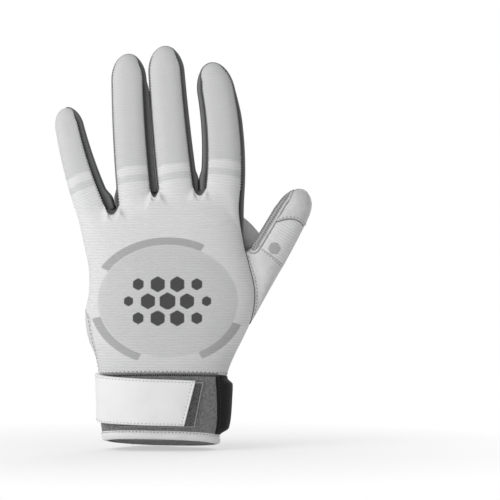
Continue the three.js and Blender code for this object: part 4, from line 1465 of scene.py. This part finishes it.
def finger_marks(across, along):
    line = along + BAND_BOW * across**2
    band = smooth(*BAND_LOW, line) * (1 - smooth(*BAND_TOP, line))
    shade = np.maximum(smooth(*UPPER_EDGE, line), BAND_SHADE * band)
    return mark(along, shade=shade, rib=mix(1.0, FINGER_RIB, smooth(*FINGER_RIB_FADE, along)))


def thumb_marks(across, along):
    return mark(along, ink=hexagon_distance(across - THUMB_SPOT.x, along - THUMB_SPOT.z, THUMB_SPOT.radius))


# Details of the surfaces
def crease_detail(f, at):
    across, along = finger_local(f, at.flat)
    up = along - f.crease
    fold = CREASE.deep * bell(up, CREASE.wide)
    fold = fold + CREASE.second * bell(up - CREASE.second_up, CREASE.second_wide)
    return fold * (1 - smooth(*CREASE.fade, np.abs(across) / f.root_half))


def knuckle_detail(f, at):
    up = finger_local(f, at.flat)[1] - f.crease
    return -KNUCKLE.deep * np.cos(up * KNUCKLE.turn) * bell(up, KNUCKLE.wide)


def side_detail(at):
    return SIDE_SINK - ridges(at.u, SIDE_RIDGES)


# Painted shading of the side strips: lighter on the ridges, darker at the seams and between them
def side_painted_shading(at):
    return SIDE_SHADE + ridges(at.u, SIDE_PAINTED_SHADING)


def index_strip_detail(at):
    return side_detail(at) - INDEX_PUFF * hump(at.u) * smooth(*INDEX_PUFF_RISE, at.v)


def cleft_detail(at):
    return SIDE_SINK + ridges(at.v, CLEFT_EDGES)


# Painted highlight along the crotch's back edge and painted shade down its middle
def cleft_painted_shading(at):
    fold = CLEFT_PAINTED_SHADING.fold * bell(at.u - 0.5, CLEFT_PAINTED_SHADING.fold_wide) * smooth(0.0, CLEFT_PAINTED_SHADING.fold_to, at.v)
    return CLEFT_PAINTED_SHADING.base + CLEFT_PAINTED_SHADING.rim * bell(at.v, CLEFT_PAINTED_SHADING.rim_wide) - fold


def even_detail(sink, at):
    return sink + 0 * at.u


def strip_detail(at):
    return STRIP_SINK - STRIP_PUFF * hump(at.u)


def strip_tip_detail(at):
    return mix(strip_detail(at), STRIP_SINK, smooth(*STRIP_FLATTENS, at.v))


def cap_detail(at):
    return -CAP_SWELL * (1 - smooth(0, CAP_SWELL_TO, at.gaps.low))


def hem_detail(at):
    return HEM_STITCH.deep * bell(at.gaps.high - HEM_STITCH.inside, HEM_STITCH.wide)


def gusset_detail(at):
    grooves = [bell(gap - GUSSET.groove, GUSSET.groove_wide) for gap in (at.gaps.left, at.gaps.right)]
    return GUSSET.groove_deep * sum(grooves)


def strap_detail(at):
    edges = (at.gaps.right, at.gaps.low, at.gaps.high)
    groove = np.max([bell(gap - STRAP.groove, STRAP.groove_wide) for gap in edges], axis=0)
    sag = np.sin(at.flat[..., 0] * STRAP.sag_x + STRAP.sag_start) * np.sin(at.flat[..., 2] * STRAP.sag_z)
    return STRAP.groove_deep * groove + STRAP.sag * sag


# Pieces of each finger
def pad_rows(f, pad):
    turn = np.linspace(0, 2 * math.pi, PAD_POINTS)
    middle = (pad.start + pad.end) / 2
    reach = (pad.end - pad.start) / 2 * PAD_STITCH
    s = middle + reach * signed_power(np.sin(turn), 2 / PAD_POWER)
    b = pad.half * PAD_STITCH * signed_power(np.cos(turn), 2 / PAD_POWER)
    q = b / half_at(f, s)
    points = padded_point(f, s, q, 1, 0.0)
    normals = unit(finger_point(f, s, q, 1, -1.0) - finger_point(f, s, q, 1, 0.0))
    rows = []
    for part, inside in (("root", s < f.split), ("tip", s >= f.split)):
        cuts = np.flatnonzero(np.diff(inside.astype(int))) + 1
        for piece in np.split(np.arange(len(s)), cuts):
            if len(piece) > PAD_ROW_LEAST and inside[piece[0]]:
                rows.append((part, (points[piece], normals[piece])))
    return rows


def dress_finger(f):
    name = f.name
    pads = [pad for pad in FINGER_PADS if pad.finger is f]
    across = steps(int(2 * f.root_half / ACROSS_STEP), ROLL_STEP / (2 * f.root_half))
    root_rows = steps(int((f.split + ROOT_EXTRA) / ACROSS_STEP))
    tip_count = int((f.length - f.split) / ALONG_STEP)
    parts = (
        ("root", "lower", bend_root, root_surface, root_rows, "left right"),
        ("tip", "upper", bend_crease, tip_surface, steps(tip_count), "left right high"),
    )
    knit = {}
    for part, level, bend, surface, rows, rolls in parts:
        knit[part] = panel(
            f"{name}_back_{part}", partial(surface, f, -1), across, rows, KNIT_WALL, KNIT, rolls=rolls,
            detail=partial(knuckle_detail, f) if part == "tip" else None, local=partial(finger_local, f),
            marks=finger_marks,
        )
        bend(knit[part].obj, f, "knit", f"{name}_{level}_back")
    leather = {}
    for count, (part, level, bend, surface, rows, rolls) in enumerate(parts):
        leather[part] = panel(
            f"{name}_palm_{part}", partial(surface, f, 1), across, rows, LEATHER_WALL, LEATHER, rolls=rolls,
            detail=partial(crease_detail, f),
        )
        foams = [f"{name}_{level}_foam"] if len(pads) > count else []
        bend(leather[part].obj, f, "leather", f"{name}_{level}_palm", *foams)

    for hand, side in ((-1, "outer"), (1, "inner")):
        if f is LITTLE and hand < 0:
            continue
        strip = panel(
            f"{name}_side_root_{side}", partial(side_surface, f, hand), steps(18), root_rows, CLOTH_WALL,
            SIDE_CLOTH, detail=side_detail, tone=side_painted_shading,
        )
        bend_root(strip.obj, f, "side_cloth", f"{name}_lower_side_{side}")
    rim_from = RIM_END / 2 if f is LITTLE else 0.0
    around = panel(
        f"{name}_side_tip", partial(rim_surface, f, rim_from, RIM_END), steps(18), steps(2 * tip_count),
        CLOTH_WALL, SIDE_CLOTH, detail=side_detail, tone=side_painted_shading,
    )
    bend_crease(around.obj, f, "side_cloth", f"{name}_upper_side")

    pad_paths = [row for pad in pads for row in pad_rows(f, pad)]
    for part, level, bend, surface, rows, rolls in parts:
        paths = edge_paths(knit[part], "right" if f is LITTLE else "left right", LOCK_INSIDE)
        bend(threads(f"{name}_lock_thread_{part}", paths, LOCK_STITCH, PALE_THREAD, across=True), f, "knit")
        paths = edge_paths(leather[part], rolls, SEAM_INSIDE)
        if part == "root":
            paths = paths + edge_paths(leather[part], "low", ROOT_STITCH)
        paths = paths + [path for where, path in pad_paths if where == part]
        bend(threads(f"{name}_seam_thread_{part}", paths, STITCH, GREY_THREAD_AND_SHADOW_LINE), f, "leather")


# Pieces of the hand
def dress_hand():
    per_finger = max(6, int(32 * COARSE))
    per_cleft = max(3, int(14 * COARSE))
    rows = steps(130)
    back_columns = hand_columns(-1, per_finger, per_cleft)
    palm_columns = hand_columns(1, per_finger, per_cleft)
    cleft = np.array([column.cleft for column in back_columns])
    across = np.linspace(0, 1, len(back_columns))

    def back_detail(at):
        return rolled(at.gaps.high) * cleft[None, :]

    def palm_detail(at):
        x, z = at.flat[..., 0], at.flat[..., 2]
        bowed = z - PALM_LINE.z + PALM_LINE.bow * (x - PALM_LINE.x) ** 2
        line = PALM_LINE.deep * bell(bowed, PALM_LINE.wide) * (1 - smooth(*PALM_LINE.fade, np.abs(x)))
        return back_detail(at) + line

    back = panel(
        "back_panel", partial(hand_surface, back_columns), across, rows, KNIT_WALL, KNIT,
        rolls="left right low", detail=back_detail, marks=hand_marks,
    )
    carry(back.obj, "hand", "knit", "back_panel")
    palm = panel(
        "palm_panel", partial(hand_surface, palm_columns), across, rows, LEATHER_WALL, LEATHER,
        rolls="left right low", detail=palm_detail,
    )
    carry(palm.obj, "hand", "leather", "palm_panel", "palm_foam")
    for f, g in zip(FINGERS, FINGERS[1:]):
        name = f"{f.name}_{g.name}_crotch"
        crotch = panel(
            name, partial(cleft_surface, f, g), steps(26), steps(20), CLOTH_WALL, SIDE_CLOTH,
            detail=cleft_detail, tone=cleft_painted_shading,
        )
        carry(crotch.obj, "hand", "side_cloth", name)
    dress_thumb_side()
    turn = np.linspace(0, 2 * math.pi, PALM_PAD.points)
    power = 2 / PALM_PAD.power
    up = PALM_PAD.stitch * signed_power(np.sin(turn), power)
    x = PALM_PAD.x + PALM_PAD.stitch * palm_pad_wide(up) * signed_power(np.cos(turn), power)
    leather_rows = [near_path(palm, x, PALM_PAD.z + up * PALM_PAD.high), edge_path(palm, "low", PALM_STITCH)]
    leather_rows = leather_rows + edge_paths(palm, "left right", SEAM_INSIDE)
    carry(threads("palm_thread", leather_rows, STITCH, GREY_THREAD_AND_SHADOW_LINE), "hand", "leather")
    carry(threads("back_thread", [edge_path(back, "low", WRIST_STITCH)], STITCH, GREY_THREAD_AND_SHADOW_LINE), "hand", "knit")
    edge = back.outer[:, -1]
    above = edge[:, 2] > THUMB_OPEN_FROM - SEAM_PIPING_PAST
    inside = above & (edge[:, 2] < THUMB_OPEN_TO + SEAM_PIPING_PAST)
    path = (edge[inside], back.normal[inside, -1])
    piping = tube("thumb_seam_piping", path, SEAM_PIPING, DARK_PIPING, lift=SEAM_PIPING_LIFT)
    carry(piping, "hand", "side_cloth")


def dress_thumb_side():
    index_top = finger_point(INDEX, root_line(INDEX, 1), 1.0, 1, 0.0)[2]

    def strip(u, v, inset):
        return thumb_side(mix(-STRIP_OVER, 1 + STRIP_OVER, u), mix(THUMB_OPEN_TO, index_top, v), inset)

    def gusset(u, v, inset):
        low = wrist_level(mix(-BACK_EDGE, PALM_EDGE, u))
        return thumb_side(mix(-GUSSET_OVER, 1 + GUSSET_OVER, u), mix(low, THUMB_OPEN_FROM, v), inset)

    made = panel(
        "index_side_strip", strip, steps(18), steps(40), CLOTH_WALL, SIDE_CLOTH, detail=index_strip_detail,
        tone=side_painted_shading,
    )
    carry(made.obj, "hand", "side_cloth", "index_side_strip")
    made = panel(
        "wrist_side_gusset", gusset, steps(26), steps(32), KNIT_WALL, KNIT,
        detail=partial(even_detail, GUSSET_SINK), marks=plain_marks,
    )
    carry(made.obj, "hand", "knit", "wrist_side_gusset")


# Pieces of the thumb: piping with a painted shadow line beside it (a thin grey tube), and stitch rows on
# the sleeve, each with its turn limits, points and place along the sleeve
PIPES = (
    SimpleNamespace(
        name="piping", turn=0.0, end=PIPING_END, radius=PIPING, material=WHITE_PIPING, lift=PIPING_LIFT,
    ),
    # A thin grey tube beside the piping: painted shadow
    SimpleNamespace(
        name="seam", turn=PIPING_TURN, end=PIPING_SHADOW_END, radius=PIPING_SHADOW, material=GREY_THREAD_AND_SHADOW_LINE, lift=0.0,
    ),
)
THUMB_ROWS = (
    ("thumb_root_thread", KNIT_FROM + 0.02, KNIT_TO - 0.01, 50, 0.96),
    ("sleeve_thread", 0.09, 0.42, 70, 0.13),
)


def pipe_tube(pipe, part, path):
    return tube(f"thumb_{pipe.name}_{part}", path, pipe.radius, pipe.material, pipe.lift)


def shell_line(pipe, rows):
    return surface_path(partial(thumb_shell, KNIT_FROM + pipe.turn / 360, KNIT_TO), 0 * rows, rows)


def rim_line(pipe):
    rim = np.linspace(0, pipe.end, PIPING_POINTS)
    share = seam_share(rim_seam(THUMB, rim, -1) + pipe.turn)
    s, q = rim_place(THUMB, THUMB.split, THUMB.split, rim, share)
    edge = finger_point(THUMB, s, q, -1, 0.0)
    return edge, unit(finger_point(THUMB, s, q, -1, -1.0) - edge)


def web_line(pipe):
    v = np.linspace(0.0, 1.0, WEB_PIPING_POINTS)
    return surface_path(sleeve_surface, web_edge(v) + pipe.turn / 360, v)


def joined(line, onward, rows):
    share = smooth(*PIPING_JOIN, rows)[:, None]
    drawn = line[0] + share * (onward[0][0] - line[0][-1])
    return np.concatenate([drawn, onward[0][1:3]]), np.concatenate([line[1], onward[1][1:3]])


def dress_thumb():
    f = THUMB
    rim = THUMB_RIM
    around = np.linspace(0, 1, int(110 * COARSE))
    along = np.unique(np.concatenate([steps(30), 1 - np.linspace(0, *SLEEVE_END)]))
    sleeve = panel(
        "thumb_sleeve", sleeve_surface, around, along, LEATHER_WALL, LEATHER, rolls="low", closed=True,
    )
    bend_root(sleeve.obj, f, "leather", "thumb_sleeve")
    local = partial(finger_local, f)
    rows = steps(16)
    knit = panel(
        "thumb_back_root", partial(thumb_shell, KNIT_FROM, KNIT_TO), steps(30, rim), rows, KNIT_WALL, KNIT,
        rolls="left right low", local=local, marks=thumb_marks,
    )
    bend_root(knit.obj, f, "knit", "thumb_lower_back")
    leather = panel(
        "thumb_palm_root", partial(thumb_shell, KNIT_TO, 1 + STRIP_FROM), steps(40, rim), rows, LEATHER_WALL,
        LEATHER, rolls="left right",
    )
    bend_root(leather.obj, f, "leather", "thumb_lower_palm")
    strip = panel(
        "thumb_strip_root", partial(thumb_shell, STRIP_FROM - STRIP_TUCK, KNIT_FROM + STRIP_TUCK), steps(14),
        rows, CLOTH_WALL, STRIP_CLOTH, detail=strip_detail, local=local,
    )
    bend_root(strip.obj, f, "thumb_strip", "thumb_side_strip")
    made = panel(
        "thumb_back_tip", knit_tip_surface, steps(30, rim), steps(26), KNIT_WALL, KNIT, rolls="left right",
        local=local, marks=plain_marks,
    )
    bend_crease(made.obj, f, "knit")
    cap = panel(
        "thumb_cap", partial(tip_surface, f, -1, low=cap_seam), steps(32, rim), steps(34), LEATHER_WALL,
        LEATHER, rolls=ALL_EDGES, detail=cap_detail,
    )
    bend_crease(cap.obj, f, "leather", "thumb_cap")
    # A grey tube just below the cap's low edge stands in for the cap's shadow: painted shadow
    u = np.linspace(CAP_SHADOW_LINE.start, 1, CAP_SHADOW_LINE.points)
    path = surface_path(cap_shadow_line_surface, u, 0 * u)
    bend_crease(tube("thumb_cap_shadow", path, CAP_SHADOW_LINE.radius, GREY_THREAD_AND_SHADOW_LINE), f, "leather")
    palm_tip = panel(
        "thumb_palm_tip", partial(tip_surface, f, 1), steps(34, rim), steps(40), LEATHER_WALL, LEATHER,
        rolls="left high", detail=partial(crease_detail, f),
    )
    bend_crease(palm_tip.obj, f, "leather", "thumb_tip_palm")
    made = panel(
        "thumb_outer_tip", thumb_outer_surface, steps(8, 0.1), steps(22), LEATHER_WALL, LEATHER, rolls="left",
    )
    bend_crease(made.obj, f, "leather")
    made = panel(
        "thumb_strip_tip", partial(rim_surface, f, 0.0, STRIP_END), steps(14), steps(44), CLOTH_WALL,
        STRIP_CLOTH, detail=strip_tip_detail, local=local,
    )
    bend_crease(made.obj, f, "thumb_strip")
    made = panel(
        "thumb_tip_join", partial(rim_surface, f, *TIP_JOIN), steps(10), steps(30), CLOTH_WALL, LEATHER,
        detail=partial(even_detail, TIP_JOIN_SINK),
    )
    bend_crease(made.obj, f, "leather")
    tips = [rim_line(pipe) for pipe in PIPES]
    for pipe, tip in zip(PIPES, tips):
        bend_root(pipe_tube(pipe, "root", joined(shell_line(pipe, rows), tip, rows)), f, "leather")
    for pipe, tip in zip(PIPES, tips):
        bend_crease(pipe_tube(pipe, "tip", tip), f, "leather")
    made = threads("thumb_cap_thread", [edge_path(cap, "low", CAP_STITCH)], FINE_STITCH, GREY_THREAD_AND_SHADOW_LINE)
    bend_crease(made, f, "leather")
    made = panel(
        "thumb_strip_web", web_strip_surface, steps(14, 0.06), steps(24), WEB_STRIP_WALL, STRIP_CLOTH,
        rolls="left right low", local=local,
    )
    bend_root(made.obj, f, "thumb_strip")
    web = panel(
        "thumb_web", web_surface, steps(24), steps(20, 0.04), LEATHER_WALL, LEATHER, rolls="high",
        lining=LEATHER,
    )
    bend_web(web.obj)
    for pipe in PIPES:
        bend_root(pipe_tube(pipe, "web", web_line(pipe)), f, "leather")
    for name, start, end, count, level in THUMB_ROWS:
        turn = np.linspace(start, end, count)
        row = surface_path(sleeve_surface, turn, 0 * turn + level)
        bend_root(threads(name, [row], FINE_STITCH, GREY_THREAD_AND_SHADOW_LINE), f, "leather")


# Pieces of the cuff
def dress_cuff():
    band = panel("cuff_band", band_surface, steps(150), steps(36), CUFF_WALL, CUFF_CLOTH)
    carry(band.obj, "hand", "cuff_cloth", "cuff_band")
    made = threads("band_frill", [edge_path(band, "high", PALM_STITCH)], FRILL, BLACK_THREAD, across=True)
    carry(made, "hand", "cuff_cloth")
    # The hem's inside takes the paler lining, which paints in light
    hem = panel(
        "cuff_hem", hem_surface, steps(170), steps(24), CUFF_WALL, HEM_LEATHER, rolls="low high",
        detail=hem_detail, closed=True, lining=HEM_LINING_PAINTED_LIGHT,
    )
    carry(hem.obj, "hand", "hem_binding", "cuff_hem")
    made = threads("hem_thread", [edge_path(hem, "high", HEM_STITCH.inside)], FINE_STITCH, GREY_THREAD_AND_SHADOW_LINE)
    carry(made, "hand", "hem_binding")
    gusset = panel(
        "elastic_gusset", gusset_surface, steps(44, 0.02), steps(40, 0.03), CUFF_WALL, BLACK_CLOTH,
        rolls=ALL_EDGES, detail=gusset_detail,
    )
    carry(gusset.obj, "hand", "black_elastic", "elastic_gusset")
    path = edge_path(gusset, "left", GUSSET.binding_in)
    carry(tube("gusset_binding", path, GUSSET.binding, BLACK_CLOTH), "hand", "black_elastic")
    rows = edge_paths(gusset, "left right", GUSSET.groove) + edge_paths(gusset, "low", GUSSET.low_stitch)
    carry(threads("gusset_thread", rows, FINE_STITCH, BLACK_THREAD), "hand", "black_elastic")
    loop = panel(
        "loop_patch", partial(patch_surface, LOOP_PATCH), steps(60, 0.02), steps(34, 0.03), LOOP_PATCH.wall,
        LOOP_PILE, rolls=ALL_EDGES,
    )
    carry(loop.obj, "hand", "loop_tape", "loop_patch")
    for edge in ("right", "low", "high"):
        path = edge_path(loop, edge, LOOP_PATCH.inside)
        made = tube(f"loop_border_{edge}", path, LOOP_PATCH.border, LOOP_BORDER, lift=PIPING_LIFT)
        carry(made, "hand", "loop_tape")
    surface = partial(patch_surface, HOOK_PATCH)
    hook = panel("hook_patch", surface, steps(40), steps(30), HOOK_PATCH.wall, HOOK_PILE)
    carry(hook.obj, "strap", "hook_tape", "hook_patch")
    strap = panel(
        "strap", strap_surface, steps(110, 0.012), steps(60, 0.03), STRAP.wall, STRAP_LEATHER,
        rolls=ALL_EDGES, detail=strap_detail,
    )
    bend_strap(strap.obj, "strap_leather", "strap")
    rows = edge_paths(strap, "right low high", STRAP_STITCH)
    bend_strap(threads("strap_thread", rows, FINE_STITCH, STRAP_THREAD), "strap_leather")
    path = edge_path(strap, "right", STRAP.edge / 2)
    bend_strap(tube("strap_edge", path, STRAP.edge, STRAP_LEATHER), "strap_leather")
    tab = panel(
        "pull_tab", tab_surface, steps(36, 0.03), steps(48, 0.02), PULL_TAB.wall, WEBBING, rolls=ALL_EDGES,
        lining=WEBBING,
    )
    carry(tab.obj, "pull_tab", "black_webbing", "pull_tab")
    edge, up = edge_path(tab, "right", PULL_TAB.piping_in)
    low = int(len(edge) * PULL_TAB.piping_from)
    piping = tube("tab_piping", (edge[low:], up[low:]), PULL_TAB.piping, GREEN_PIPING)
    carry(piping, "pull_tab", "black_webbing")


for finger in FINGERS:
    dress_finger(finger)
dress_hand()
dress_thumb()
dress_cuff()


# Floor, light and camera
FLOOR_SIZE = 6.0
FLOOR_GAP = 0.0005
FLOOR_ROUGH = 0.9
FLOOR_GRAIN = 40.0
FLOOR_FADE = (0.05, 0.25)
FLOOR_GLOW = 0.5
WORLD_LIGHT = 0.33
VIEW_WIDTH = 0.295
VIEW_DISTANCE = 1.5
VIEW_X = 0.05015
VIEW_Z = 0.1139
SENSOR = 36.0
WHITE = (1, 1, 1, 1)

# Lamps: name, place and target in metres, size in metres and power in watts
LAMPS = (
    ("key", (-0.72, -0.57, 0.61), (0, 0, 0.11), 0.6, 5.9),
    ("front", (-0.3, -1.28, 0.05), (0, 0, 0.1), 0.5, 2.8),
    ("palm_fill", (0.55, 0.9, 0.6), (0, 0, 0.11), 0.8, 4.5),
)


def seen_rays(tree):
    path = tree.nodes.new("ShaderNodeLightPath")
    seen = path.outputs["Is Camera Ray"]
    for other in ("Is Glossy Ray", "Is Transmission Ray"):
        either = tree.nodes.new("ShaderNodeMath")
        either.operation = "MAXIMUM"
        tree.links.new(seen, either.inputs[0])
        tree.links.new(path.outputs[other], either.inputs[1])
        seen = either.outputs[0]
    return seen


def floor_material():
    s = Shader("floor_white", FLOOR_ROUGH)
    place = s.add("ShaderNodeNewGeometry", out="Position")
    reach = s.add("ShaderNodeVectorMath", {0: place}, out="Value", operation="LENGTH")
    near = s.range(reach, *FLOOR_FADE, FLOOR_GLOW, 1.0)
    share = s.times(near, seen_rays(s.tree))
    glow = s.add("ShaderNodeEmission", {"Color": WHITE, "Strength": 1.0})
    both = s.add("ShaderNodeMixShader", {0: share, 1: s.base.outputs[0], 2: glow})
    s.tree.links.new(both, s.tree.nodes["Material Output"].inputs["Surface"])
    return s.finish(s.blend(s.noise(FLOOR_GRAIN), grey(251), grey(253)), None)


def make_floor():
    bpy.ops.mesh.primitive_plane_add(size=FLOOR_SIZE, location=(0, 0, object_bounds()[0][2] - FLOOR_GAP))
    floor = bpy.context.active_object
    floor.name = "floor"
    floor.data.materials.append(floor_material())


def make_light(name, place, target, size, power):
    data = bpy.data.lights.new(name, "AREA")
    data.size = size
    data.energy = power
    light = bpy.data.objects.new(name, data)
    bpy.context.scene.collection.objects.link(light)
    light.location = place
    x, y, z = np.array(target) - np.array(place)
    light.rotation_euler = (math.atan2(math.hypot(x, y), -z), 0, math.atan2(x, -y) + math.pi)


def make_world():
    world = bpy.data.worlds.new("studio")
    bpy.context.scene.world = world
    world.use_nodes = True
    tree = world.node_tree
    tree.nodes.clear()
    out = tree.nodes.new("ShaderNodeOutputWorld")
    either = tree.nodes.new("ShaderNodeMixShader")
    tree.links.new(seen_rays(tree), either.inputs[0])
    for slot, strength in ((1, WORLD_LIGHT), (2, 1.0)):
        lit = tree.nodes.new("ShaderNodeBackground")
        lit.inputs["Color"].default_value = WHITE
        lit.inputs["Strength"].default_value = strength
        tree.links.new(lit.outputs[0], either.inputs[slot])
    tree.links.new(either.outputs[0], out.inputs["Surface"])


def make_camera():
    data = bpy.data.cameras.new("camera")
    data.sensor_width = SENSOR
    data.lens = SENSOR * VIEW_DISTANCE / VIEW_WIDTH
    camera = bpy.data.objects.new("camera", data)
    bpy.context.scene.collection.objects.link(camera)
    camera.location = (VIEW_X, -VIEW_DISTANCE, VIEW_Z)
    camera.rotation_euler = (math.pi / 2, 0, 0)
    bpy.context.scene.camera = camera


make_floor()
for lamp in LAMPS:
    make_light(*lamp)
make_world()
make_camera()
bpy.context.scene.view_settings.view_transform = "Standard"
